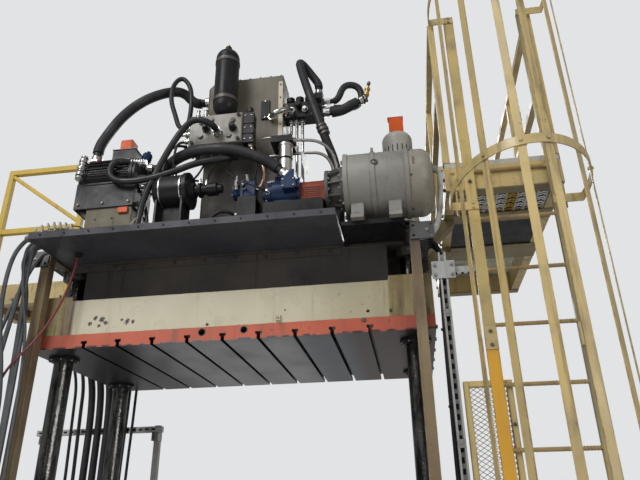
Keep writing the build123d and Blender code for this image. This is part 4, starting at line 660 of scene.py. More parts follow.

# Each paint: material, base, faded and grime colours, roughness, streaks, chips, and where it differs
# the bare colour and a zone that darkens along one axis (on the tank's lower part, painted shade).
PAINTS = {
    "cream": ("cream_paint", CREAM, (0.54, 0.47, 0.33), (0.24, 0.18, 0.11),
              0.36, 0.45, 0.8, BARE_BROWN, ("X", 0.72, 1.1, BROWN_GRIME)),
    "cream_dirty": ("cream_dirty", (0.25, 0.185, 0.1), (0.17, 0.115, 0.065),
                    (0.075, 0.045, 0.025), 0.42, 0.7, 1.0, (0.4, 0.35, 0.24),
                    ("Z", 2.65, 2.98, (0.05, 0.036, 0.028))),
    # The tank's zone darkens it below Z 3.78: painted shade behind and under the pumps and manifold.
    "tank_cream": ("tank_cream", (0.185, 0.168, 0.135), (0.135, 0.118, 0.088),
                   (0.085, 0.06, 0.04), 0.36, 0.6, 0.6, BARE_BROWN, ("Z", 3.78, 3.6, (0.055, 0.052, 0.05))),
    # A pale copy of the tank cream, used only on the strip painted as the tank's corner highlight.
    "tank_light": ("tank_light", (0.52, 0.48, 0.37), (0.46, 0.4, 0.29), (0.2, 0.15, 0.09), 0.3, 0.4, 0.5),
    "box_cream": ("box_cream", (0.18, 0.158, 0.115), (0.135, 0.115, 0.083),
                  (0.12, 0.09, 0.055), 0.4, 0.5, 0.6),
    "block": ("block_paint", (0.21, 0.195, 0.16), (0.16, 0.145, 0.115), (0.1, 0.075, 0.045), 0.36, 0.5, 0.7),
    "cast": ("cast_grey", (0.085, 0.085, 0.085), (0.14, 0.138, 0.13), (0.03, 0.028, 0.026), 0.32, 0.5, 0.5),
    "crown_dark": ("crown_dark", (0.06, 0.056, 0.055), (0.098, 0.086, 0.075),
                   (0.018, 0.016, 0.015), 0.5, 0.6, 0.5),
    "black": ("black_paint", (0.014, 0.014, 0.016), (0.028, 0.027, 0.028),
              (0.05, 0.042, 0.033), 0.3, 0.35, 0.5),
    # This near-black serves oily metal and also painted shade in holes, slots, vents and the fan grille.
    "oily": ("oily_dark", (0.011, 0.011, 0.014), (0.02, 0.019, 0.02), (0.01, 0.009, 0.009), 0.3, 0.5, 0.4),
    "deck": ("deck_dark", (0.048, 0.049, 0.058), (0.072, 0.072, 0.083),
             (0.015, 0.015, 0.016), 0.36, 0.5, 0.5),
    "grey": ("motor_grey", (0.29, 0.282, 0.255), (0.21, 0.202, 0.178), (0.085, 0.07, 0.052), 0.36, 0.6, 0.7),
    "cover": ("fan_cover", (0.36, 0.34, 0.29), (0.22, 0.2, 0.16), (0.13, 0.1, 0.065), 0.24, 0.5, 0.5),
    "blue": ("pump_blue", (0.01, 0.026, 0.08), (0.018, 0.038, 0.095), (0.014, 0.016, 0.02), 0.28, 0.4, 0.6),
    "orange": ("orange_paint", (0.66, 0.105, 0.02), (0.56, 0.085, 0.02), (0.14, 0.06, 0.035), 0.38, 0.3, 0.5),
    "guard": ("guard_red", (0.33, 0.065, 0.025), (0.25, 0.05, 0.025), (0.07, 0.03, 0.02), 0.42, 0.5, 0.6),
    "yellow": ("yellow_paint", (0.57, 0.425, 0.17), (0.44, 0.345, 0.17),
               (0.11, 0.082, 0.045), 0.34, 0.85, 1.0),
    "rail_yellow": ("rail_yellow", (0.64, 0.46, 0.09), (0.56, 0.4, 0.09), (0.3, 0.16, 0.06), 0.38, 0.4, 0.6),
    "ladder_yellow": ("ladder_yellow", (0.56, 0.42, 0.165), (0.4, 0.315, 0.15),
                      (0.1, 0.078, 0.042), 0.34, 0.95, 1.0, BARE_BROWN,
                      ("X", 1.7, 1.86, (0.17, 0.145, 0.08))),
    "gold": ("golden_yellow", (0.68, 0.36, 0.045), (0.58, 0.32, 0.06), (0.17, 0.1, 0.04), 0.36, 0.35, 0.8),
    "olive": ("olive_yellow", (0.25, 0.205, 0.1), (0.18, 0.15, 0.08), (0.06, 0.05, 0.032), 0.46, 0.5, 0.8),
    "brown": ("worn_brown", (0.17, 0.125, 0.07), (0.24, 0.19, 0.115), (0.06, 0.04, 0.025), 0.55, 0.6, 0.9),
    "white": ("white_paint", (0.5, 0.485, 0.44), (0.42, 0.4, 0.35), (0.16, 0.13, 0.09), 0.32, 0.45, 0.4),
    # The planks' pale zinc is raised to stand in for the lamp light the slats catch from above: painted
    # light.
    "zinc": ("zinc_planks", (0.86, 0.86, 0.84), (0.74, 0.74, 0.72), (0.4, 0.39, 0.36), 0.34, 0.3, 0.3),
    "rung": ("rung_paint", (0.3, 0.2, 0.085), (0.42, 0.3, 0.12), (0.1, 0.06, 0.035), 0.42, 0.5, 0.9),
}

# Each worked steel: material, base and dark colours, roughness, scale of the scratches, stain, line depth.
STEELS = {
    "strut": ("galvanised", (0.52, 0.525, 0.51), (0.22, 0.21, 0.19), 0.42, (2.0, 2.0, 0.4), 0.55, 0.05),
    "bracket": ("drilled_bracket", (0.13, 0.13, 0.13), (0.05, 0.048, 0.045), 0.45,
                (2.0, 2.0, 2.0), 0.6, 0.08),
    "grating": ("grating_steel", (0.56, 0.55, 0.5), (0.26, 0.23, 0.17), 0.5, (2.0, 30.0, 2.0), 0.6, 0.1),
    "steel": ("machined_steel", (0.46, 0.45, 0.43), (0.18, 0.16, 0.14), 0.3, (2.0, 2.0, 40.0), 0.5),
    "table": ("ground_table", (0.38, 0.375, 0.38), (0.17, 0.155, 0.14), 0.33, (40.0, 1.5, 1.0), 0.5),
    "dull_steel": ("dull_steel", (0.17, 0.16, 0.15), (0.06, 0.052, 0.045), 0.45, (3.0, 3.0, 3.0), 0.6),
    "chrome": ("oily_chrome", (0.15, 0.148, 0.142), (0.014, 0.013, 0.012), 0.12, (5.0, 5.0, 0.35), 1.0, 0.05),
}

# Each plated or cast metal: material, base and dark colours, roughness, stain.
METALS = {
    "bright": ("bright_plate", (0.58, 0.575, 0.56), (0.17, 0.155, 0.13), 0.24, 0.75),
    "aluminium": ("spun_aluminium", (0.62, 0.61, 0.58), (0.26, 0.24, 0.2), 0.3, 0.5),
    "brass": ("brass", (0.62, 0.44, 0.15), (0.28, 0.18, 0.07), 0.28),
    "copper": ("copper", (0.72, 0.46, 0.35), (0.24, 0.12, 0.08), 0.3, 0.6),
}

# Each cover of a hose or cable: material, colour, scale of the ribs, roughness.
COVERS = {
    "hose": ("hose_rubber", (0.015, 0.015, 0.017), 42.0, 0.5),
    "sleeve": ("guard_sleeve", (0.02, 0.02, 0.023), 90.0, 0.62),
    "cable": ("cable_black", (0.014, 0.014, 0.016), 30.0, 0.42),
    "grey_conduit": ("grey_conduit", (0.1, 0.105, 0.11), 50.0, 0.32),
    "conduit": ("light_conduit", (0.6, 0.59, 0.55), 70.0, 0.4),
    "pale_cable": ("pale_cable", (0.46, 0.32, 0.24), 30.0, 0.4),
    "red_cable": ("red_cable", (0.2, 0.042, 0.04), 30.0, 0.4),
}

MATERIALS = {
    "slide_cream": slide_cream("slide_cream", CHIP_MARKS),
    "column": column_finish(),
    "plate": slide_plate_finish(),
    "floor": studio_surface("pale_floor", (0.6, 0.59, 0.57), 0.6),
}
for make, table in ((painted, PAINTS), (brushed, STEELS), (plain_metal, METALS), (rubber, COVERS)):
    MATERIALS |= {finish: make(*row) for finish, row in table.items()}

# Finishes by the material slot that they fill, and nodes by finish.
FINISH_NODES = {
    "black": (
        "accumulator filter_head left_motor main_cylinder side_valves terminal_box upright_pump "
        "valve_stack"
    ),
    "box_cream": "base_box_left",
    "cream": "bed bed_gussets",
    "cast": "bell_housing",
    "table": "bolster",
    "cable": "cables",
    "yellow": (
        "cage_bars cage_hoops guardrail_right ladder_rungs platform_frame platform_left "
        "side_guard"
    ),
    "dull_steel": "column_nuts",
    "column": "columns",
    "grey_conduit": "conduits",
    "guard": "coupling_guard",
    "crown_dark": "crown crown_gussets",
    "deck": "deck_tray",
    "aluminium": "filter_bowl",
    "blue": "gear_pump main_pump",
    "cream_dirty": "guard_posts",
    "rail_yellow": "guardrail_left",
    "oily": "guide_bushes motor_base platform_floor_plate pump_base",
    "bright": "hose_fittings",
    "strut": "hose_rack ladder_stay strut",
    "ladder_yellow": "ladder_rails",
    "grey": "main_motor",
    "block": "manifold",
    "cover": "motor_fan_cover",
    "hose": "oil_hoses",
    "olive": "platform_brackets",
    "grating": "platform_grating",
    "bracket": "post_plates",
    "chrome": "ram",
    "slide_cream": "slide_body",
    "plate": "slide_face",
    "steel": "steel_tubes",
    "orange": "switch_boxes",
    "tank_cream": "tank",
    "white": "upright_motor",
}


def dress_nodes():
    """Gives every CAD node its finish."""
    for finish, nodes in FINISH_NODES.items():
        for name in nodes.split():
            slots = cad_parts[name].data.materials
            slots.clear()
            slots.append(MATERIALS[finish])


# Groups. Lengths are metres in the frame of the CAD, with the front towards -Y.

COLUMNS = spread((-1.05, 1.05), (-0.39, 0.39), 0.0)
DOWN, UP, FRONT, BACK, LEFT, RIGHT = (0, 0, -1), (0, 0, 1), (0, -1, 0), (0, 1, 0), (-1, 0, 0), (1, 0, 0)


def bolts(name, points, normal, across, material="dull_steel", body="frame", spin=0.2):
    """Hexagon heads on washers at each point; head height = 0.62 x width across flats."""
    shape = copies(hex_head(across, 0.62 * across), facing(points, normal, spin))
    return piece(name, shape, material, body)


def screws(name, points, normal, diameter, material="dull_steel", body="frame"):
    """Hollow-head screws at each point; head height = 0.6 x diameter."""
    return piece(name, copies(socket_head(diameter, 0.6 * diameter), facing(points, normal)), material, body)


def fitted(name, shape, points, normal, material, body="frame", crease=35.0):
    """Copies of a shape that stand on the points along one normal."""
    return piece(name, copies(shape, facing(points, normal)), material, body, crease=crease)


def placed(name, shape, rows, material):
    """Copies of a shape, one for each row of a point and its normal."""
    return piece(name, joined(*[copies(shape, facing(point, normal)) for point, normal in rows]), material)


def beads(name, lines, radius, material, body="frame"):
    """Weld beads along each pair of end points."""
    return piece(name, joined(*[weld_bead(start, end, radius) for start, end in lines]), material, body,
                 crease=80)


def plates(name, boxes, material, bevel=0.0015, body="frame", stands_for=()):
    """Bevelled plates, each between two corners."""
    shape = joined(*[bar(low, high, bevel) for low, high in boxes])
    return piece(name, shape, material, body, stands_for=stands_for)


class PressSlide(PropertyGroup):
    flange_screws: IntProperty(name="Flange screws", description="Screws in each bush flange", default=8)
    flange_circle: FloatProperty(
        name="Flange circle", description="Radius of the screw circle", default=0.081, unit="LENGTH"
    )
    ram_bolts: IntProperty(name="Ram bolts", description="Bolts in the ram flange", default=12)
    weld: FloatProperty(name="Weld", description="Radius of the weld beads", default=0.005, unit="LENGTH")


class PRESS_OT_slide(Operator):
    """Screws, rings, welds and plugs that travel with the slide"""

    bl_idname = "press.slide"
    bl_label = "Slide dressing"

    def execute(self, context):
        values = context.scene.press_slide
        under = COLUMNS + (0, 0, 2.435)
        rings = [polar(point, values.flange_circle, values.flange_screws, phase=0.3) for point in under]
        screws("flange_screws", np.vstack(rings), DOWN, 0.01, "steel", "slide")
        section = [(0.057, 0), (0.101, 0), (0.101, 0.009), (0.097, 0.013), (0.062, 0.013), (0.057, 0.009)]
        tops = COLUMNS + (0, 0, 2.766)
        fitted("wiper_rings", loop_turned(section), tops, UP, "dull_steel", "slide")
        rings = [polar(point + (0, 0, 0.013), 0.088, 6) for point in tops]
        screws("wiper_screws", np.vstack(rings), UP, 0.012, "steel", "slide")
        lines = []
        for x in (-0.924, 0.924):
            for y in (-1, 1):
                lines.append(((x, 0.272 * y, 2.737), (x, 0.606 * y, 2.737)))
                lines.append(((x, 0.271 * y, 2.737), (1.155 * x / 0.924, 0.271 * y, 2.737)))
        beads("boss_welds", lines, values.weld, "slide_cream", "slide")
        flush = turned([(0.016, 0), (0.016, 0.001), (0.014, 0.002)], 6)
        ring = polar((0, 0, 2.764), 0.165, values.ram_bolts)
        fitted("ram_flange_bolts", flush, ring, UP, "steel", "slide")
        cap = turned([(0.012, 0), (0.012, 0.004), (0.008, 0.007)], 20)
        fitted("front_plug", cap, (0.782, -0.61, 2.517), FRONT, "dull_steel", "slide")
        chamfer = loop_turned([(0.0182, 0), (0.0225, 0), (0.0218, 0.0016), (0.0186, 0.0016)], 28)
        fitted("lifting_hole_rims", chamfer, [(-0.12, -0.61, 2.502), (0.12, -0.61, 2.502)], FRONT,
               "dull_steel", "slide")
        screws("latch_screw", [(0.316, -0.6275, 2.553)], FRONT, 0.01, "steel", "slide")
        sides = spread((-1.16, 1.16), (-0.5, -0.25, 0.0, 0.25, 0.5), 2.49)
        for name, x, normal in (("left", -1.16, LEFT), ("right", 1.16, RIGHT)):
            screws(f"face_screws_{name}", sides[sides[:, 0] == x], normal, 0.022, "dull_steel", "slide")
        plates("rear_strip", [((-0.9, 0.61, 2.6), (0.9, 0.614, 2.665))], "dull_steel", 0.001, "slide")
        screws("rear_strip_screws", spread(np.linspace(-0.85, 0.85, 9), 0.614, 2.6325), BACK, 0.014,
               "steel", "slide")
        return {"FINISHED"}


class PressCrown(PropertyGroup):
    head_bolts: IntProperty(name="Head bolts", description="Bolts in the cylinder head", default=12)
    flange_bolts: IntProperty(name="Flange bolts", description="Bolts in the cylinder flange", default=20)
    weld: FloatProperty(name="Weld", description="Radius of the weld beads", default=0.006, unit="LENGTH")
    tray_pitch: FloatProperty(name="Tray pitch", description="Pitch of the lip screws", default=0.145,
                              unit="LENGTH")


class PRESS_OT_crown(Operator):
    """Bolts, welds, nut screws and tray fixings of the crown and the main cylinder"""

    bl_idname = "press.crown"
    bl_label = "Crown dressing"

    def execute(self, context):
        values = context.scene.press_crown
        lines = [((-0.924, y, 2.999), (0.924, y, 2.999)) for y in (-0.502, 0.502)]
        for x in (-0.927, 0.927):
            for low, high in ((-0.498, -0.21), (-0.17, 0.17), (0.21, 0.498)):
                lines.append(((x, low, 2.998), (x, high, 2.998)))
            for y in (-0.206, -0.174, 0.174, 0.206):
                lines.append(((x, y, 2.78), (x, y, 2.995)))
        beads("crown_welds", lines, values.weld, "crown_dark")
        bolts("cylinder_flange_bolts", polar((0, 0, 3.1), 0.2285, values.flange_bolts), UP, 0.017, "steel")
        bolts("cylinder_head_bolts", polar((0, 0, 4.276), 0.195, values.head_bolts), UP, 0.036)
        port = turned([(0.055, 0), (0.055, 0.028), (0.05, 0.032), (0.033, 0.032), (0.03, 0.075),
                       (0.024, 0.082)], 28)
        fitted("cylinder_head_port", port, (0, 0, 4.276), UP, "black")
        pins = [(x, y - 0.0852 if y < 0 else y + 0.0852, level) for level in (2.972, 3.085, 0.65, 0.79)
                for x, y, _ in COLUMNS]
        pins = np.array(pins)
        front = pins[:, 1] < 0
        screws("nut_screws_front", pins[front], FRONT, 0.014, "steel")
        screws("nut_screws_rear", pins[~front], BACK, 0.014, "steel")
        caps = turned([(0.05, 0), (0.05, 0.006), (0.046, 0.009), (0.02, 0.01)], 36)
        fitted("column_caps", caps, COLUMNS + (0, 0, 3.163), UP, "dull_steel")
        span = np.arange(-0.99, 0.64, values.tray_pitch)
        screws("tray_lip_screws", spread(span, -0.935, 3.022), FRONT, 0.011, "deck")
        feet = spread(np.arange(-1.0, 0.65, 2 * values.tray_pitch), -0.515, 3.01)
        bolts("tray_bolts", feet, UP, 0.019)
        angle = [(-0.535, 2.9995), (-0.503, 2.9995), (-0.503, 2.955), (-0.509, 2.955), (-0.509, 2.9935),
                 (-0.535, 2.9935)]
        outline = np.array([(-y, z) for y, z in angle])
        along = Matrix(((0, 0, 1, -1.0), (-1, 0, 0, 0), (0, 1, 0, 0), (0, 0, 0, 1)))
        piece("tray_angle", moved(extruded(outline, 1.66), np.array(along)), "crown_dark")
        bolts("tray_angle_bolts", spread(np.arange(-0.93, 0.66, 0.19), -0.509, 2.975), FRONT, 0.017)
        return {"FINISHED"}


class PressBed(PropertyGroup):
    weld: FloatProperty(name="Weld", description="Radius of the weld beads", default=0.006, unit="LENGTH")
    anchor: FloatProperty(name="Anchor nut", description="Width of the anchor nuts", default=0.046,
                          unit="LENGTH")


class PRESS_OT_bed(Operator):
    """Anchor nuts, weld beads and bolster fixings of the bed"""

    bl_idname = "press.bed"
    bl_label = "Bed dressing"

    def execute(self, context):
        values = context.scene.press_bed
        anchors = spread((-1.21, 1.21), (-0.52, 0.52), 0.04)
        washer = loop_turned([(0.0155, 0), (0.036, 0), (0.036, 0.005), (0.0155, 0.005)], 28)
        fitted("anchor_washers", washer, anchors, UP, "dull_steel")
        stud = turned([(0.0145, 0), (0.0145, 0.046), (0.0125, 0.05)], 20)
        fitted("anchor_studs", stud, anchors, UP, "dull_steel")
        r = values.anchor / 2 / cos(pi / 6)
        nut = turned([(0.88 * r, 0.005), (r, 0.008), (r, 0.026), (0.88 * r, 0.029)], 6)
        piece("anchor_nuts", copies(nut, facing(anchors, UP, 0.3)), "dull_steel")
        lines = [((-0.922, y, z), (0.922, y, z)) for y in (-0.502, 0.502) for z in (0.042, 0.688)]
        for x in (-0.927, 0.927):
            for y in (-0.208, -0.172, 0.172, 0.208):
                lines.append(((x, y, 0.045), (x, y, 0.685)))
        for x in (-0.481, -0.443, 0.443, 0.481):
            lines.append(((x, -0.503, 0.045), (x, -0.503, 0.685)))
        beads("bed_welds", lines, values.weld, "cream")
        clamps = [((min(x, x + 0.05 * side), y - 0.035, 0.75), (max(x, x + 0.05 * side), y + 0.035, 0.79))
                  for x, side in ((-0.92, -1), (0.92, 1)) for y in (-0.2, 0.2)]
        plates("bolster_keys", clamps, "dull_steel", 0.003)
        bolts("bolster_key_bolts", spread((-0.945, 0.945), (-0.2, 0.2), 0.79), UP, 0.024)
        lifting = spread((-0.6, 0.6), -0.61, 0.8)
        rim = loop_turned([(0.011, 0), (0.019, 0), (0.018, 0.003), (0.012, 0.003)], 28)
        fitted("bolster_hole_rims", rim, lifting, FRONT, "dull_steel")
        # Flush near-black discs: painted shade inside the lifting holes.
        disc = turned([(0.0108, 0.0), (0.0108, 0.0012)], 24)
        fitted("bolster_holes", disc, lifting, FRONT, "oily")
        return {"FINISHED"}


def web(outline, thickness, centre, angles):
    """Ribs about an axis along X: outline (x, r) carried to x = u, y = r cos a, z = r sin a."""
    places = []
    for angle in angles:
        place = np.eye(4)
        place[:3, 1] = (0, cos(angle), sin(angle))
        place[:3, 2] = (0, -sin(angle), cos(angle))
        place[:3, 3] = np.asarray(centre, float) - place[:3, 2] * thickness / 2
        places.append(place)
    return copies(extruded(outline, thickness), places)


def stack(rows, segments=28):
    """Turned stack of collars from (radius, length) rows, laid one on another along Z."""
    profile, level = [], 0.0
    for radius, length in rows:
        edge = min(0.15 * length, 0.0015)
        profile += [(radius - edge, level), (radius, level + edge), (radius, level + length - edge)]
        level += length
        profile.append((radius - edge, level))
    return turned(profile, segments)


class PressMotor(PropertyGroup):
    axis: FloatVectorProperty(name="Axis", description="Point on the shaft line", default=(0, -0.64, 3.31),
                              unit="LENGTH")
    end_bolts: IntProperty(name="End bolts", description="Bolts in the motor's end face", default=8)
    grille_rings: IntProperty(name="Grille rings", description="Rings in the fan cover's grille", default=8)
    ribs: IntProperty(name="Ribs", description="Ribs of the bell housing", default=10)


class PRESS_OT_motor(Operator):
    """Bolts, grille, seams and fixings of the main motor, bell housing and coupling guard"""

    bl_idname = "press.motor"
    bl_label = "Main motor"

    def execute(self, context):
        values = context.scene.press_motor
        y, z = values.axis[1:]
        fan_end = 1.215
        bolts("motor_end_bolts", polar((0.715, y, z), 0.172, values.end_bolts, "X", 0.2), LEFT, 0.022,
              "steel")
        feet = spread((0.785, 0.995), (y - 0.143, y + 0.143), 3.062)
        bolts("motor_foot_bolts", feet, UP, 0.024, "steel")
        # Dark disc behind the grille: painted shade of the fan cover's inside.
        disc = turned([(0.124, 0), (0.124, 0.0012), (0.122, 0.0018)], 64)
        fitted("fan_grille_back", disc, (fan_end, y, z), RIGHT, "oily")
        rings = []
        for radius in np.linspace(0.026, 0.12, values.grille_rings):
            section = [(radius - 0.0025, 0.001), (radius + 0.0025, 0.001), (radius + 0.0025, 0.005),
                       (radius - 0.0025, 0.005)]
            rings.append(loop_turned(section, 56))
        for angle in np.arange(6) * pi / 6:
            spoke = bar((-0.124, -0.0025, 0.0035), (0.124, 0.0025, 0.0065))
            rings.append(moved(spoke, np.array(Matrix.Rotation(angle, 4, "Z"))))
        fitted("fan_grille", joined(*rings), (fan_end, y, z), RIGHT, "cover")
        around = polar((1.094, y, z), 0.1975, 6, "X", 0.26)
        heads = [copies(socket_head(0.012, 0.005), facing([p], Vector((0, p[1] - y, p[2] - z))))
                 for p in around]
        piece("fan_cover_screws", joined(*heads), "dull_steel")
        plates("fan_cover_slot", [((1.105, y - 0.1985, z + 0.012), (1.117, y - 0.186, z + 0.062))], "brown",
               0.001)
        eye = loop_turned([(0.016 + 0.0055 * cos(a), 0.0055 * sin(a))
                           for a in np.linspace(0, tau, 13)[:-1]], 32)
        fitted("shell_eye", eye, (0.895, -0.8375, 3.36), (0, -0.97, 0.25), "dull_steel", crease=80)
        gland = stack([(0.03, 0.006), (0.026, 0.012), (0.022, 0.014), (0.0185, 0.006)])
        fitted("conduit_gland", gland, (fan_end, y, z + 0.085), RIGHT, "bright")
        ribs = web([(0.62, 0.082), (0.691, 0.106), (0.691, 0.131), (0.62, 0.117)], 0.008, (0, y, z),
                   np.arange(values.ribs) * tau / values.ribs + 0.1)
        piece("bell_ribs", ribs, "cast")
        bolts("bell_bolts", polar((0.691, y, z), 0.1225, values.ribs, "X", 0.41), LEFT, 0.017, "steel")
        bolts("bell_rear_bolts", polar((0.62, y, z), 0.106, values.ribs, "X", 0.41), RIGHT, 0.014, "steel")
        flanges = [((0.46, y - 0.084, 3.215), (0.595, y - 0.065, 3.219)),
                   ((0.46, y + 0.065, 3.215), (0.595, y + 0.084, 3.219))]
        plates("guard_flanges", flanges, "guard", 0.001)
        screws("guard_screws", spread((0.485, 0.57), (y - 0.075, y + 0.075), 3.219), UP, 0.012, "steel")
        # Flush near-black strips: painted shade in the guard's slots.
        slots = [((0.48, y - 0.0656, low), (0.575, y - 0.064, low + 0.005))
                 for low in np.linspace(3.235, 3.305, 6)]
        plates("guard_slots", slots, "oily", 0.0)
        strap = loop_turned([(0.0655, 0), (0.0675, 0), (0.0675, 0.012), (0.0655, 0.012)], 56)
        fitted("guard_straps", strap, [(0.462, y, z), (0.581, y, z)], RIGHT, "guard")
        return {"FINISHED"}


class PressPumps(PropertyGroup):
    cover_bolts: IntProperty(name="Cover bolts", description="Bolts in the pump's end cover", default=6)
    head: FloatProperty(name="Head", description="Width of the cover bolt heads", default=0.016,
                        unit="LENGTH")
    gear_left: FloatProperty(name="Gear pump end", description="Left end of the gear pump", default=0.03,
                             unit="LENGTH")


class PRESS_OT_pumps(Operator):
    """Covers, controls, ports and fixings of the main, gear and transfer pumps"""

    bl_idname = "press.pumps"
    bl_label = "Pumps"

    def execute(self, context):
        values = context.scene.press_pumps
        y, z, gear = -0.64, 3.31, 3.35
        transfer = (-0.735, 3.335)
        bolts("pump_cover_bolts", polar((0.25, y, z), 0.057, values.cover_bolts, "X"), LEFT, values.head,
              "steel")
        boss = stack([(0.04, 0.012), (0.034, 0.014), (0.02, 0.01)])
        fitted("pump_cover_boss", boss, (0.25, y, z), LEFT, "blue")
        plates("pump_ears", [((0.437, y - 0.118, z - 0.022), (0.4545, y + 0.118, z + 0.022))], "blue", 0.003)
        bolts("pump_ear_bolts", spread(0.437, (y - 0.104, y + 0.104), z), LEFT, 0.022, "steel")
        control = [((0.292, y - 0.036, z + 0.06), (0.372, y + 0.036, z + 0.112)),
                   ((0.3, y - 0.026, z + 0.112), (0.345, y + 0.026, z + 0.134))]
        plates("pump_control", control, "blue", 0.004)
        adjuster = stack([(0.013, 0.008), (0.009, 0.014), (0.012, 0.01), (0.006, 0.018)])
        fitted("pump_adjusters", adjuster, [(0.292, y - 0.015, z + 0.085), (0.292, y + 0.018, z + 0.085)],
               LEFT, "bright")
        screws("pump_control_screws", spread((0.302, 0.362), (y - 0.028, y + 0.028), z + 0.112), UP, 0.01,
               "steel")
        plates("suction_flange", [((0.352, y - 0.1395, z - 0.032), (0.438, y - 0.1355, z + 0.035))], "blue",
               0.001)
        screws("suction_screws", spread((0.364, 0.426), y - 0.1395, (z - 0.02, z + 0.023)), FRONT, 0.011,
               "steel")
        rear = stack([(0.03, 0.006), (0.047, 0.03), (0.042, 0.022)], 36)
        fitted("gear_pump_rear", rear, (values.gear_left, y, gear), RIGHT, "blue")
        bolts("gear_pump_bolts", polar((values.gear_left + 0.006, y, gear), 0.038, 4, "X", 0.8), LEFT,
              0.011, "steel")
        ports = stack([(0.017, 0.01), (0.013, 0.012), (0.016, 0.01), (0.01, 0.022)])
        fitted("gear_pump_ports", ports, [(0.115, y, 3.41), (0.06, y - 0.042, 3.35)], (0, -0.5, 1), "bright")
        body = [(0.055, 0.0), (0.082, 0.012), (0.098, 0.036), (0.102, 0.06), (0.102, 0.182), (0.096, 0.186),
                (0.096, 0.196), (0.112, 0.198), (0.112, 0.222), (0.058, 0.226), (0.05, 0.25), (0.03, 0.254)]
        fitted("transfer_motor", turned(body, 64), (-0.425, *transfer), RIGHT, "oily")
        bolts("transfer_motor_bolts", polar((-0.227, *transfer), 0.104, 8, "X"), LEFT, 0.01, "steel")
        rim = loop_turned([(0.1025, 0), (0.1045, 0.001), (0.1045, 0.007), (0.1025, 0.008)], 64)
        fitted("transfer_motor_rim", rim, [(-0.372, *transfer), (-0.245, *transfer)], RIGHT, "bright")
        cradle = [((-0.405, -0.815, 3.01), (-0.205, -0.655, 3.022)),
                  ((-0.395, -0.8, 3.022), (-0.38, -0.67, 3.262)),
                  ((-0.24, -0.8, 3.022), (-0.225, -0.67, 3.262)),
                  ((-0.395, -0.742, 3.022), (-0.225, -0.728, 3.24))]
        plates("transfer_cradle", cradle, "oily", 0.002)
        bolts("transfer_cradle_bolts", spread((-0.39, -0.22), (-0.808, -0.662), 3.022), UP, 0.015, "steel")
        shaft = stack([(0.034, 0.02), (0.046, 0.016), (0.03, 0.036), (0.04, 0.06), (0.026, 0.03)], 36)
        fitted("transfer_pump", shaft, (-0.171, *transfer), RIGHT, "oily")
        return {"FINISHED"}


class PressReservoir(PropertyGroup):
    lid_bolts: IntProperty(name="Lid bolts", description="Screws along the lid's long side", default=7)
    weld: FloatProperty(name="Weld", description="Radius of the corner beads", default=0.004, unit="LENGTH")
    gauge_low: FloatProperty(name="Gauge", description="Level of the gauge's lower end", default=3.99,
                             unit="LENGTH")


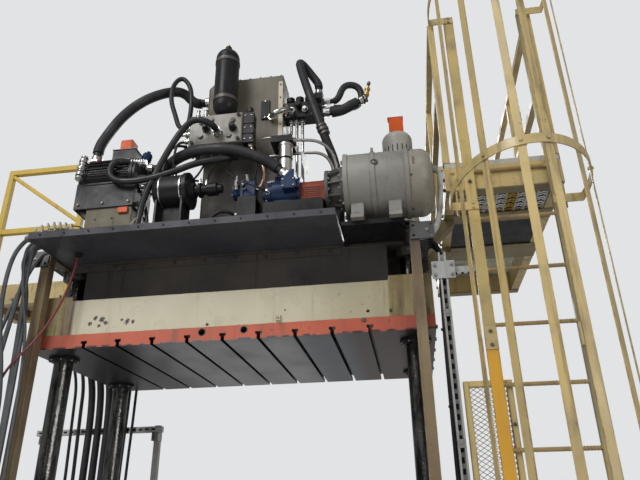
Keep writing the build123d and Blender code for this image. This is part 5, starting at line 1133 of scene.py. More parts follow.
class PRESS_OT_reservoir(Operator):
    """Lid, gauge, a pale strip painted as the corner highlight, welds and breather of the tank, and the
    dressing of the manifold group
    """

    bl_idname = "press.reservoir"
    bl_label = "Tank and manifold"

    def execute(self, context):
        values = context.scene.press_reservoir
        plates("tank_lid", [((-0.176, -0.474, 4.35), (0.288, -0.266, 4.356))], "tank_cream", 0.002)
        lid = spread(np.linspace(-0.165, 0.277, values.lid_bolts), (-0.466, -0.274), 4.356)
        bolts("tank_lid_bolts", lid, UP, 0.013)
        breather = stack([(0.026, 0.012), (0.038, 0.01), (0.042, 0.04), (0.036, 0.008)], 36)
        fitted("breather", breather, (-0.08, -0.36, 4.356), UP, "black")
        corners = [((x, -0.4785, 3.045), (x, -0.4785, 4.295)) for x in (-0.229, 0.291)]
        beads("tank_welds", corners, values.weld, "tank_cream")
        beads("tank_foot_welds", [((-0.225, -0.4815, 3.044), (0.288, -0.4815, 3.044))], values.weld,
              "crown_dark")
        low = values.gauge_low
        pole = (-0.07, -0.6)
        plates("gauge_frame", [((0.146, -0.492, low), (0.206, -0.48, low + 0.152))], "black", 0.003)
        plates("gauge_glass", [((0.163, -0.4945, low + 0.022), (0.189, -0.491, low + 0.13))], "oily", 0.001)
        screws("gauge_screws", spread(0.176, -0.492, (low + 0.011, low + 0.141)), FRONT, 0.012, "bright")
        # A pale strip down the tank's right corner: painted highlight.
        plates("tank_corner_painted_highlight", [((0.262, -0.4835, 3.8), (0.2935, -0.4795, 4.3))], "tank_light", 0.0015)
        screws("tank_strip_screws", spread(0.278, -0.4835, np.linspace(3.83, 4.27, 5)), FRONT, 0.01)
        face = -0.6905
        screws("manifold_screws", spread((-0.244, 0.054), face, (3.712, 3.893)), FRONT, 0.024)
        plug = stack([(0.019, 0.004), (0.015, 0.007)])
        ports = [(-0.19, face, 3.86), (-0.19, face, 3.755), (-0.005, face, 3.742), (-0.125, face, 3.872),
                 (0.015, face, 3.855)]
        fitted("manifold_plugs", plug, ports, FRONT, "dull_steel")
        cartridge = joined(stack([(0.026, 0.012), (0.019, 0.022)]),
                           moved(hex_head(0.03, 0.014), facing([(0, 0, 0.034)])[0]))
        fitted("manifold_cartridges", cartridge, [(-0.155, face, 3.805), (0.02, face, 3.795)], FRONT, "black")
        top = stack([(0.016, 0.01), (0.012, 0.01), (0.015, 0.012), (0.009, 0.024), (0.012, 0.008)])
        fitted("manifold_top_fittings", top, spread((-0.225, -0.175), (-0.66, -0.6, -0.54), 3.915), UP,
               "bright")
        side = stack([(0.018, 0.01), (0.014, 0.012), (0.017, 0.012), (0.01, 0.026)])
        fitted("manifold_side_fittings", side, spread(-0.268, (-0.66, -0.6, -0.55), (3.745, 3.8)), LEFT,
               "bright")
        under = spread((-0.2, -0.13, -0.06, 0.01), -0.645, 3.69)
        fitted("manifold_lower_fittings", side, under, DOWN, "bright")
        band = loop_turned([(0.0805, 0), (0.0835, 0), (0.0835, 0.026), (0.0805, 0.026)], 56)
        fitted("accumulator_bands", band, [(*pole, 4.06), (*pole, 4.38)], UP, "dull_steel")
        arms = [((-0.0775, -0.5185, 4.06), (-0.0625, -0.4805, 4.086)),
                ((-0.0775, -0.5185, 4.38), (-0.0625, -0.4805, 4.406))]
        plates("accumulator_arms", arms, "dull_steel", 0.001)
        valve = stack([(0.015, 0.008), (0.01, 0.016)])
        collar = stack([(0.044, 0.008), (0.038, 0.014)], 36)
        fitted("accumulator_collar", collar, (*pole, 3.915), UP, "dull_steel")
        fitted("accumulator_valve", valve, (*pole, 4.54), (0, 0, 1), "brass")
        plates("stack_connector", [((0.1, -0.668, 3.925), (0.126, -0.652, 3.955))], "black", 0.003)
        screws("stack_screws", spread((0.093, 0.133), -0.6755, (3.715, 3.8, 3.89)), FRONT, 0.009, "bright")
        return {"FINISHED"}


class PressValves(PropertyGroup):
    cap: FloatProperty(name="Cap", description="Radius of the valve caps", default=0.022, unit="LENGTH")
    bowl_screws: IntProperty(name="Head screws", description="Screws in the filter head", default=4)


class PRESS_OT_valves(Operator):
    """Caps, connectors and screws of the side valves, the brass valve, and the filter's band"""

    bl_idname = "press.valves"
    bl_label = "Valves and filter"

    def execute(self, context):
        values = context.scene.press_valves
        front = -0.45
        bowl = (0.34, -0.59)
        coils = spread((0.333, 0.397, 0.461), -0.4, 4.196)
        boxes = [((x - 0.014, -0.447, 4.146), (x + 0.014, -0.426, 4.182)) for x, _, _ in coils]
        plates("coil_connectors", boxes, "black", 0.003)
        cap = stack([(values.cap, 0.01), (values.cap - 0.005, 0.014), (values.cap - 0.009, 0.008)])
        fitted("valve_caps", cap, [(0.35, front, 4.06), (0.44, front, 4.06)], FRONT, "bright")
        fitted("valve_end_caps", cap, [(0.53, front, 4.07), (0.53, front, 4.135)], FRONT, "black")
        screws("side_valve_screws", spread((0.31, 0.49), front, (4.026, 4.112)), FRONT, 0.012, "steel")
        knob = stack([(0.012, 0.012), (0.02, 0.006), (0.024, 0.022), (0.02, 0.006)])
        fitted("valve_knob", knob, (0.397, front, 4.094), FRONT, "black")
        plates("valve_flange", [((0.2965, -0.462, 4.03), (0.325, -0.4505, 4.115))], "brown", 0.002)
        handle = stack([(0.014, 0.014), (0.02, 0.014), (0.015, 0.03), (0.02, 0.014), (0.012, 0.016)])
        fitted("brass_valve", handle, (0.852, -0.425, 4.13), (0.22, 0, 1), "brass")
        lever = stack([(0.007, 0.018), (0.012, 0.004), (0.012, 0.016), (0.008, 0.006)])
        fitted("brass_valve_stem", lever, (0.871, -0.425, 4.215), (0.22, 0, 1), "dull_steel")
        elbow = stack([(0.026, 0.018), (0.031, 0.012), (0.024, 0.012)])
        fitted("stub_elbow", elbow, (0.858, -0.425, 4.122), (-0.93, 0, -0.37), "black")
        band = loop_turned([(0.0432, 0), (0.0445, 0.001), (0.0445, 0.014), (0.0432, 0.015)], 48)
        fitted("filter_band", band, (*bowl, 3.578), UP, "oily")
        rings = loop_turned([(0.0431, 0), (0.0438, 0.0005), (0.0438, 0.002), (0.0431, 0.0025)], 48)
        fitted("filter_rings", rings, spread(*bowl, (3.602, 3.616, 3.63, 3.644)), UP, "aluminium")
        nut = joined(stack([(0.022, 0.006)]), moved(hex_head(0.03, 0.014), facing([(0, 0, 0.004)])[0]))
        fitted("filter_drain", nut, (*bowl, 3.48), DOWN, "bright")
        corner = spread((0.272, 0.372), (-0.622, -0.5), 3.745)[: values.bowl_screws]
        screws("filter_head_screws", corner, UP, 0.012, "bright")
        dial = stack([(0.02, 0.012), (0.023, 0.004)], 36)
        fitted("filter_indicator", dial, (0.391, -0.56, 3.722), RIGHT, "red_cable")
        swivel = stack([(0.036, 0.016), (0.03, 0.01), (0.038, 0.02), (0.03, 0.012), (0.035, 0.016)])
        fitted("return_swivel", swivel, (0.5555, -0.5125, 3.875), (0.34, 0.12, -0.93), "dull_steel")
        blade = [(0.036, 0.0), (0.044, 0.05), (0.032, 0.12), (0.012, 0.17), (0.0, 0.16), (0.006, 0.09),
                 (0.022, 0.02)]
        upright = np.array([[1, 0, 0, 0.43], [0, 0, -1, -0.535], [0, 1, 0, 3.5], [0, 0, 0, 1.0]])
        piece("bell_blade", moved(extruded(blade, 0.004), upright), "strut")
        return {"FINISHED"}


class PressLeftGroup(PropertyGroup):
    fins: IntProperty(name="Fins", description="Cooling fins round the left motor", default=26)
    skirt_low: FloatProperty(name="Skirt", description="Lower edge of the black skirt", default=3.262,
                             unit="LENGTH")


class PRESS_OT_left_group(Operator):
    """Fins, skirt, covers, ports and fixings of the left motor, and the base box below it"""

    bl_idname = "press.left_group"
    bl_label = "Left motor"

    def execute(self, context):
        values = context.scene.press_left_group
        y, z = -0.64, 3.5
        angles = np.arange(values.fins) * tau / values.fins + 0.06
        angles = angles[np.abs(np.sin(angles) - 1) > 0.12]
        outline = [(-0.872, 0.134), (-0.6, 0.134), (-0.604, 0.1475), (-0.868, 0.1475)]
        piece("left_motor_fins", web(outline, 0.004, (0, y, z), angles), "black")
        rim = loop_turned([(0.134, 0), (0.1415, 0.002), (0.1415, 0.014), (0.134, 0.016)], 72)
        fitted("left_motor_rims", rim, [(-0.893, y, z), (-0.592, y, z)], RIGHT, "black")
        bolts("left_motor_bolts", polar((-0.93, y, z), 0.112, 8, "X"), LEFT, 0.016)
        bolts("left_motor_right_bolts", polar((-0.545, y, z), 0.112, 8, "X", 0.4), RIGHT, 0.014)
        low = values.skirt_low
        skirt = [
            ((-0.928, -0.762, low), (-0.55, -0.7502, 3.44)),
            ((-0.928, -0.75, low), (-0.918, -0.53, 3.42)),
            ((-0.5595, -0.75, low), (-0.55, -0.53, 3.42)),
            ((-0.918, -0.75, 3.352), (-0.5595, -0.53, 3.364)),
        ]
        plates("left_motor_skirt", skirt, "black", 0.002)
        bolts("skirt_bolts", spread((-0.9, -0.745, -0.58), -0.762, low + 0.03), FRONT, 0.014)
        plates("orange_strip", [((-0.64, -0.7655, low - 0.045), (-0.578, -0.7505, low - 0.008))], "orange",
               0.002)
        rim_box = [
            ((-0.849, -0.7535, 3.012), (-0.556, -0.7502, 3.03)),
            ((-0.849, -0.7535, low - 0.006), (-0.842, -0.7502, low)),
            ((-0.79, -0.7525, 3.05), (-0.665, -0.7502, 3.2)),
        ]
        plates("base_box_trim", rim_box, "box_cream", 0.001)
        screws("base_box_screws", spread((-0.78, -0.675), -0.7525, (3.06, 3.19)), FRONT, 0.01, "box_cream")
        bolts("base_box_foot_bolts", spread(-0.865, (-0.72, -0.56), 3.0105), UP, 0.018)
        plates("terminal_lid", [((-0.767, -0.7, 3.7095), (-0.608, -0.58, 3.7145))], "dull_steel", 0.001)
        screws("terminal_screws", spread((-0.757, -0.618), (-0.692, -0.588), 3.7145), UP, 0.009, "bright")
        solenoid = stack([(0.026, 0.012), (0.032, 0.044), (0.026, 0.01), (0.012, 0.014)], 28)
        fitted("left_solenoid", solenoid, (-0.563, -0.64, 3.628), (0.35, -0.2, 1), "blue")
        steps = [(0.024, 0.014), (0.017, 0.01), (0.027, 0.02), (0.016, 0.016), (0.023, 0.012),
                 (0.029, 0.018), (0.018, 0.024)]
        nipple = stack(steps + steps[:5])
        fitted("left_port_chain", nipple, (-0.905, -0.792, 3.455), (-0.05, 0.22, 1), "bright")
        coil = stack([(0.026, 0.01), (0.02, 0.006)] * 6 + [(0.024, 0.012)])
        fitted("left_corrugated", coil, (-0.618, -0.742, 3.575), (1, 0.15, -0.05), "bright")
        elbow = stack([(0.03, 0.012), (0.022, 0.018), (0.026, 0.014)])
        fitted("left_elbow", elbow, (-0.618, -0.742, 3.575), (-0.5, 0.8, 0.3), "bright")
        return {"FINISHED"}


class PressUpright(PropertyGroup):
    bolts: IntProperty(name="Flange bolts", description="Bolts in the lower flange", default=8)
    vents: IntProperty(name="Vents", description="Slots round the fan cowl", default=20)


class PRESS_OT_upright(Operator):
    """Flange bolts, fins, cowl rim and cover of the upright motor and the orange box on it"""

    bl_idname = "press.upright"
    bl_label = "Upright motor"

    def execute(self, context):
        values = context.scene.press_upright
        x, y = 1.04, 0.0
        bolts("upright_foot_bolts", polar((x, y, 3.058), 0.098, values.bolts, phase=0.4), UP, 0.016, "steel")
        bolts("upright_flange_bolts", polar((x, y, 3.34), 0.1, values.bolts, phase=0.4), DOWN, 0.014, "steel")
        fins = extruded([(0.106, -0.0018), (0.1145, -0.0012), (0.1145, 0.0012), (0.106, 0.0018)], 0.4)
        places = [np.array(Matrix.Translation((x, y, 3.42)) @ Matrix.Rotation(angle, 4, "Z"))
                  for angle in np.arange(32) * tau / 32]
        piece("upright_fins", copies(fins, places), "white")
        lip = loop_turned([(0.1075, 0), (0.1135, 0.003), (0.1135, 0.016), (0.1075, 0.019)], 64)
        fitted("upright_cowl_lip", lip, (x, y, 3.85), UP, "white")
        # Thin near-black bars: painted shade in the cowl's vent slots.
        slot = bar((0.1065, -0.0035, 0), (0.1088, 0.0035, 0.055), 0.0005)
        places = [np.array(Matrix.Translation((x, y, 3.895)) @ Matrix.Rotation(angle, 4, "Z"))
                  for angle in np.arange(values.vents) * tau / values.vents]
        piece("upright_vents", copies(slot, places), "oily")
        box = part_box("switch_boxes")
        top = box[1][2]
        lid = [((x - 0.057, -0.03, top - 0.004), (x + 0.057, 0.03, top + 0.0015)),
               ((x - 0.05, -0.0325, top - 0.145), (x + 0.05, -0.0302, top - 0.012))]
        plates("upright_box_covers", lid, "orange", 0.0015)
        corners = spread((x - 0.043, x + 0.043), -0.0325, (top - 0.137, top - 0.02))
        screws("upright_box_screws", corners, FRONT, 0.008, "bright")
        plates("left_switch_cover", [((-0.7235, -0.6825, 3.722), (-0.6515, -0.6795, 3.788))], "orange", 0.001)
        screws("left_switch_screws", spread((-0.716, -0.659), -0.6825, (3.728, 3.782)), FRONT, 0.006,
               "bright")
        return {"FINISHED"}


class PressPosts(PropertyGroup):
    slot_pitch: FloatProperty(name="Slot pitch", description="Pitch of the strut's slots", default=0.05,
                              unit="LENGTH")
    anchor: FloatProperty(name="Anchor bolt", description="Width of the anchor bolt heads", default=0.024,
                          unit="LENGTH")


class PRESS_OT_posts(Operator):
    """Anchors, welds and bolts of the guard posts, and the slots, clamps and bolts of the strut channels"""

    bl_idname = "press.posts"
    bl_label = "Posts and struts"

    def execute(self, context):
        values = context.scene.press_posts
        x, rear, front, half = 1.085, -0.64, -0.695, 0.0275
        feet = spread((-x - 0.043, -x + 0.043, x - 0.043, x + 0.043), (-0.71, -0.6245), 0.012)
        bolts("post_anchors", feet, UP, values.anchor)
        lines = []
        for side in (-x, x):
            left, right = side - half, side + half
            lines += [((left, front, 0.0125), (right, front, 0.0125)),
                      ((left, rear, 0.0125), (right, rear, 0.0125))]
            lines += [((left, front, 0.0125), (left, rear, 0.0125)),
                      ((right, front, 0.0125), (right, rear, 0.0125))]
        beads("post_welds", lines, 0.004, "cream_dirty")
        plate_x = x + 0.045
        heads = spread((-plate_x - 0.025, plate_x + 0.025), -0.705, 2.98)
        bolts("post_plate_bolts", heads, FRONT, 0.016, "steel")
        caps = [((side - half, -0.6955, 2.985), (side + half, -0.6935, 2.9995)) for side in (-x, x)]
        plates("post_caps", caps, "cream_dirty", 0.0005)
        # Flush near-black bars: painted shade in the strut's slots.
        slot = bar((1.2165, -0.6182, 0), (1.2315, -0.6144, 0.028), 0.0)
        levels = np.arange(0.03, 2.82, values.slot_pitch)
        piece("strut_slots", copies(slot, [shift(0, 0, level) for level in levels]), "oily")
        nuts = [((1.2125, -0.6405, level), (1.2355, -0.633, level + 0.034))
                for level in (0.55, 1.2, 1.85, 2.5)]
        plates("strut_nuts", nuts, "dull_steel", 0.001)
        levels = (0.567, 1.217, 1.867, 2.517)
        bolts("strut_bolts", spread(1.224, -0.6545, levels), FRONT, 0.017, "steel")
        squares = [((1.2045, -0.659, level - 0.02), (1.2435, -0.6562, level + 0.02)) for level in levels]
        plates("strut_washers", squares, "bright", 0.0005)
        bolts("stay_bolts", spread((1.179, 1.269), -0.662, (2.728, 2.784)), FRONT, 0.017, "steel")
        # Flush near-black discs: painted shade in the stay's holes.
        holes = turned([(0.0075, 0), (0.0075, 0.0009)], 20)
        along = np.linspace(1.29, 1.43, 5)
        fitted("stay_holes", holes, spread(along, -0.627, 2.741), FRONT, "oily")
        foot = [((1.188, -0.675, 0.0), (1.26, -0.615, 0.005)),
                ((1.188, -0.6622, 0.005), (1.2035, -0.616, 0.075))]
        plates("strut_foot", foot, "strut", 0.001)
        # Flush near-black strips: painted shade in the rack's post and rail slots.
        rack = [((post - 0.007, 0.7898, level), (post + 0.007, 0.7916, level + 0.028))
                for post in (-1.8, -0.9) for level in np.arange(0.4, 2.15, values.slot_pitch)]
        plates("rack_slots", rack, "oily", 0.0)
        rail = [((along, 0.7085 - 0.0004, 2.1735), (along + 0.028, 0.71, 2.1875))
                for along in np.arange(-1.83, -0.88, values.slot_pitch)]
        plates("rack_rail_slots", rail, "oily", 0.0)
        anchors = spread((-1.84, -1.76, -0.94, -0.86), (0.731, 0.811), 0.008)
        bolts("rack_anchors", anchors, UP, 0.018)
        corner = []
        for post in (-1.8, -0.9):
            for side in (-1, 1):
                low, high = sorted((post + side * 0.0207, post + side * 0.0257))
                corner.append(((low, 0.712, 2.1), (high, 0.788, 2.196)))
        plates("rack_brackets", corner, "strut", 0.001)
        return {"FINISHED"}


def twisted(length, side, turns, rings=72):
    """Square bar along X that turns about its own line: corner angle = tau x turns x share of length."""
    share = np.linspace(0, 1, rings)
    angle = tau * turns * share[:, None] + pi / 4 + np.arange(4)[None] * pi / 2
    radius = side / 2**0.5
    points = np.stack([np.repeat(share[:, None] * length, 4, 1), radius * np.cos(angle),
                       radius * np.sin(angle)], -1)
    last = (rings - 1) * 4
    return points.reshape(-1, 3), [ring_faces(rings, 4),
                                   np.array([[3, 2, 1, 0], [last, last + 1, last + 2, last + 3]])]


def chained(points, wire, pitch):
    """Oval links along a line, each a quarter turn on from its neighbour."""
    points = np.asarray(points, float)
    run = np.linalg.norm(np.diff(points, axis=0), axis=1)
    reach = np.concatenate([[0], np.cumsum(run)])
    along = np.arange(pitch / 2, reach[-1], pitch)
    centre = np.column_stack([np.interp(along, reach, points[:, axis]) for axis in range(3)])
    ahead = np.column_stack([np.interp(along + 0.001, reach, points[:, axis]) for axis in range(3)]) - centre
    steps, sides = 14, 6
    angle = np.arange(steps) * tau / steps
    flat = np.zeros(steps)
    line = np.column_stack([0.72 * pitch * np.cos(angle), 0.42 * pitch * np.sin(angle), flat])
    outward = np.column_stack([np.cos(angle), np.sin(angle), flat])
    ring = circle(wire / 2, sides)
    link = line[:, None] + ring[None, :, :1] * outward[:, None] + ring[None, :, 1:] * np.array([0, 0, 1.0])
    side = np.arange(sides)
    after = (side + 1) % sides
    last = (steps - 1) * sides
    faces = np.vstack([ring_faces(steps, sides), np.stack([last + side, last + after, after, side], -1)])
    places = []
    for number, (place, way) in enumerate(zip(centre, ahead)):
        turn = Vector(way).to_track_quat("X", "Z").to_matrix().to_4x4()
        quarter = Matrix.Rotation(pi / 2 * (number % 2) + 0.4, 4, "X")
        places.append(np.array(Matrix.Translation(place) @ turn @ quarter))
    return copies((link.reshape(-1, 3), [faces]), places)


class PressLadder(PropertyGroup):
    rungs: IntProperty(name="Rungs", description="Rungs of the ladder", default=11)
    pitch: FloatProperty(name="Pitch", description="Spacing of the rungs", default=0.305, unit="LENGTH")
    twist: FloatProperty(name="Twist", description="Full turns along each rung", default=7.0)
    chain: FloatProperty(name="Chain link", description="Spacing of the chain's links", default=0.022,
                         unit="LENGTH")


class PRESS_OT_ladder(Operator):
    """Twisted rungs, rail joints, cage bolts, the golden lower rail and the gate chain"""

    bl_idname = "press.ladder"
    bl_label = "Ladder and cage"

    def execute(self, context):
        values = context.scene.press_ladder
        x, face, outer = 1.655, -0.652, 0.23
        rung_y = -0.639
        rung = twisted(0.404, 0.0165, values.twist)
        places = [shift(1.453, rung_y, values.pitch * (number + 1)) for number in range(values.rungs)]
        piece("rung_bars", copies(rung, places), "rung", crease=50, stands_for=("ladder_rungs",))
        levels = values.pitch * np.arange(1, values.rungs + 1)
        weld = stack([(0.0135, 0.004), (0.0115, 0.003)], 20)
        ends = [copies(weld, facing(spread(side, rung_y, levels), normal))
                for side, normal in ((1.454, RIGHT), (1.856, LEFT))]
        piece("rung_welds", joined(*ends), "yellow")
        rails = (x - outer, x + outer)
        lower = [((rails[0] - 0.0306, face - 0.0016, 0.01), (rails[0] + 0.0306, face - 0.0002, 2.33)),
                 ((rails[0] + 0.03, face, 0.01), (rails[0] + 0.0312, -0.6275, 2.33))]
        plates("golden_lower_rail", lower, "gold", 0.0005)
        splice = [((rail - 0.0315, face - 0.0065, 2.31), (rail + 0.0315, face - 0.0018, 2.43))
                  for rail in rails]
        plates("rail_splices", splice, "yellow", 0.001)
        bolts("splice_bolts", spread(rails, face - 0.0065, (2.335, 2.405)), FRONT, 0.015)
        bolts("rail_bolts", spread(rails, face - 0.0018, (3.285, 3.365, 0.06)), FRONT, 0.017)
        feet = [((rail - 0.036, face - 0.02, 0.0), (rail + 0.036, -0.6, 0.006)) for rail in rails]
        plates("ladder_feet", feet, "yellow", 0.001)
        heads, nuts = [], []
        for height in (1.6, 3.1295, 4.497):
            for degrees in (204, 232, 260, 280, 308, 336):
                a = radians(degrees)
                normal = Vector((cos(a) / 0.362, sin(a) / 0.55, 0)).normalized()
                point = (x + 0.3625 * cos(a), -0.735 + 0.5505 * sin(a), height)
                heads.append(copies(hex_head(0.014, 0.007), facing([point], normal)))
                inside = Vector(point) - normal * 0.0145
                nuts.append(copies(hex_head(0.014, 0.007), facing([inside], -normal)))
        piece("cage_bolts", joined(*heads), "yellow")
        piece("cage_nuts", joined(*nuts), "yellow")
        for rail in rails:
            side = "left" if rail < x else "right"
            bolts(f"hoop_end_bolts_{side}",
                  spread(rail, face - 0.0062, (1.585, 1.615, 3.115, 3.144, 4.482, 4.512)),
                  FRONT, 0.012, "yellow")
        share = np.linspace(-1, 1, 40)
        hang = np.column_stack([1.765 + 0.01 * share, -0.606 + 0.006 * share**2, 3.965 - 0.262 * share])
        piece("gate_chain", chained(hang, 0.006, values.chain), "aluminium", crease=80)
        return {"FINISHED"}


class PressPlatform(PropertyGroup):
    bar_pitch: FloatProperty(name="Bar pitch", description="Spacing of the bearing bars", default=0.03,
                             unit="LENGTH")
    cross_pitch: FloatProperty(name="Cross pitch", description="Spacing of the cross rods", default=0.1,
                               unit="LENGTH")
    toe: FloatProperty(name="Toe plate", description="Height of the toe plates", default=0.1, unit="LENGTH")


class PRESS_OT_platform(Operator):
    """Serrated grating, toe plates, braces, base plates and fixings of both service platforms"""

    bl_idname = "press.platform"
    bl_label = "Platforms"

    def execute(self, context):
        values = context.scene.press_platform
        left, right = 1.29, 1.945
        front, rear = -0.627, 1.21
        low, high = 3.4, 3.43
        teeth = 65
        step = (right - left - 0.008) / teeth
        along = np.arange(teeth + 1) * step
        notch = np.where(np.arange(teeth + 1) % 2 == 0, 0.03, 0.0265)
        outline = np.vstack([np.column_stack([along, notch]), [(along[-1], 0.0), (0.0, 0.0)]])
        upright = np.array([[1, 0, 0, left + 0.004], [0, 0, 1, 0], [0, 1, 0, low], [0, 0, 0, 1.0]])
        bearing = moved(extruded(outline, 0.004), upright)
        spans = ((front, -0.25), (0.315, rear))
        shapes = []
        for start, end in spans:
            count = int((end - start - 0.01) / values.bar_pitch)
            places = [shift(0, start + 0.012 + values.bar_pitch * n, 0) for n in range(count)]
            shapes.append(copies(bearing, places))
            for low_y, high_y in ((start, start + 0.005), (end - 0.005, end)):
                shapes.append(bar((left, low_y, low), (right, high_y, high)))
            for low_x, high_x in ((left, left + 0.005), (right - 0.005, right)):
                shapes.append(bar((low_x, start, low), (high_x, end, high)))
        piece("grating_bars", joined(*shapes), "grating", stands_for=("platform_grating",))
        shapes = []
        for start, end in spans:
            rod = twisted(end - start - 0.006, 0.0055, 12 * (end - start), int(150 * (end - start)))
            turn = Matrix.Rotation(pi / 2, 4, "Z")
            for x in np.arange(left + 0.05, right - 0.02, values.cross_pitch):
                place = Matrix.Translation((x, start + 0.003, high - 0.0045)) @ turn
                shapes.append(moved(rod, np.array(place)))
        piece("grating_rods", joined(*shapes), "grating", crease=50)
        bay_left, bay_right, bay_front, bay_rear = 1.3505, 1.8845, -0.5665, -0.2805
        planks = np.linspace(1.356, 1.88, 10)
        depth = (-0.5655, -0.2815)
        share = np.linspace(0, 1, 13)
        slats = {"grating": [], "yellow": []}
        for number, (start, end) in enumerate(zip(planks[:-1], planks[1:])):
            width = end - start - 0.01
            wave = np.column_stack([width * share, 0.005 * np.sin(tau * share), 0.006 * np.sin(pi * share)])
            slat = swept(wave, rounded(0.013, 0.004, 0.001, 2))
            rows = np.arange(depth[0] + 0.014, depth[1], 0.031)
            places = [shift(start + 0.005, y, 3.262 + 0.003 * (n % 2)) for n, y in enumerate(rows)]
            finish = "yellow" if number == 5 else "grating"
            slats[finish].append(copies(slat, places))
            for x in (start + 0.0015, end - 0.0045):
                slats[finish].append(bar((x, depth[0], 3.252), (x + 0.003, depth[1], 3.29)))
        # The planks' pale paint is partly painted light from above.
        piece("grip_planks", joined(*slats["grating"]), "zinc")
        piece("grip_plank_yellow", joined(*slats["yellow"]), "rail_yellow")
        plates("plank_tray", [((bay_left, bay_front, 3.2915), (bay_right, bay_rear, 3.293))], "oily", 0.0003)
        ledges = [((bay_left, bay_front, 3.246), (bay_right, -0.55, 3.2515)),
                  ((bay_left, -0.297, 3.246), (bay_right, bay_rear, 3.2515))]
        plates("plank_ledges", ledges, "yellow", 0.0005)
        plates("middle_panel", [((bay_left, -0.2195, 3.252), (bay_right, 0.2195, 3.256))], "oily", 0.0005)
        toe = values.toe
        edges = [
            ((left + 0.0402, rear - 0.006, high), (right - 0.0402, rear, high + toe)),
            ((right - 0.006, front + 0.0402, high), (right, 0.271, high + toe)),
            ((right - 0.006, 0.312, high), (right, rear - 0.0402, high + toe)),
            ((left, 0.312, high), (left + 0.006, rear - 0.0402, high + toe)),
        ]
        plates("toe_plates", edges, "yellow", 0.001)
        strips = [
            ((bay_left, -0.566, 3.392), (bay_right, -0.53, 3.3998)),
            ((1.56, -0.566, 3.386), (1.6, -0.281, 3.3998)),
        ]
        plates("grating_supports", strips, "yellow", 0.001)
        feet, anchors = [], []
        for x, inward in ((1.31, 1), (1.925, -1)):
            for y in (-0.607, 0.2915, 1.19):
                near, far = sorted((x - 0.02 * inward, x + 0.062 * inward))
                feet.append(((near, max(y - 0.045, front), high), (far, min(y + 0.045, rear), high + 0.006)))
                anchors.append((x + 0.046 * inward, y + (0.022 if y < 1 else -0.022), high + 0.006))
        plates("guard_foot_plates", feet, "yellow", 0.001)
        bolts("guard_foot_bolts", anchors, UP, 0.013)
        brace = [(0.0, 0.0), (0.0, -0.16), (0.02, -0.16), (0.17, -0.02), (0.17, 0.0)]
        places = [np.array([[0, 0, 1, x], [1, 0, 0, front + 0.002], [0, 1, 0, 3.25], [0, 0, 0, 1.0]])
                  for x in (1.34, 1.925)]
        piece("front_braces", copies(extruded(brace, 0.01), places), "yellow")
        flange = [
            ((left + 0.001, front - 0.0005, 3.243), (right - 0.001, front + 0.075, 3.2495)),
            ((left + 0.001, -0.31, 3.243), (right - 0.001, -0.19, 3.2495)),
            ((left + 0.001, 0.2, 3.243), (right - 0.001, 0.43, 3.2495)),
            ((left + 0.001, rear - 0.075, 3.243), (right - 0.001, rear, 3.2495)),
        ]
        plates("beam_flanges", flange, "olive", 0.001)
        front_bolts = spread((1.335, 1.545, 1.765, 1.915), front, (3.285, 3.365))
        bolts("beam_bolts", front_bolts, FRONT, 0.018, "yellow")
        bolts("beam_side_bolts", spread(left, (-0.56, -0.22, 0.22, 0.6, 1.1), (3.29, 3.36)), LEFT, 0.018,
              "olive")
        lines = [((1.005, y, 3.044), (1.168, y, 3.044)) for y in (-0.26, -0.18, 0.18, 0.26)]
        beads("bracket_welds", lines, 0.005, "olive")
        bolts("bracket_bolts", spread(1.035, (-0.155, -0.285, 0.155, 0.285), 3.04), UP, 0.022)
        gusset_plates = [((1.01, y - 0.055, 3.0402), (1.165, y + 0.055, 3.046)) for y in (-0.22, 0.22)]
        plates("bracket_pads", gusset_plates, "olive", 0.001)
        brace_points = np.array([(-2.045, 0.08, 4.105), (-1.405, 0.08, 3.64)])
        tube = swept(np.linspace(*brace_points, 3), rounded(0.03, 0.03, 0.006, 3))
        piece("left_rail_brace", tube, "rail_yellow")
        toe_left = [((-2.0695, 0.094, 3.078), (-1.3805, 0.0995, 3.168)),
                    ((-2.07, 0.105, 3.078), (-2.0645, 0.4995, 3.168))]
        plates("left_toe_plates", toe_left, "yellow", 0.001)
        ribs = [((x, 0.12, 3.022), (x + 0.04, 0.44, 3.0698)) for x in (-1.95, -1.72, -1.5, -1.28)]
        plates("left_floor_ribs", ribs, "olive", 0.001)
        bolts("left_platform_bolts", spread(np.linspace(-2.0, -1.25, 5), 0.06, 3.035), FRONT, 0.016)
        return {"FINISHED"}


class PressSideGuard(PropertyGroup):
    across: IntProperty(name="Cells across", description="Mesh cells across the panel", default=5)
    tall: IntProperty(name="Cells high", description="Mesh cells up the panel", default=88)
    strand: FloatProperty(name="Strand", description="Width of a strand", default=0.0028, unit="LENGTH")


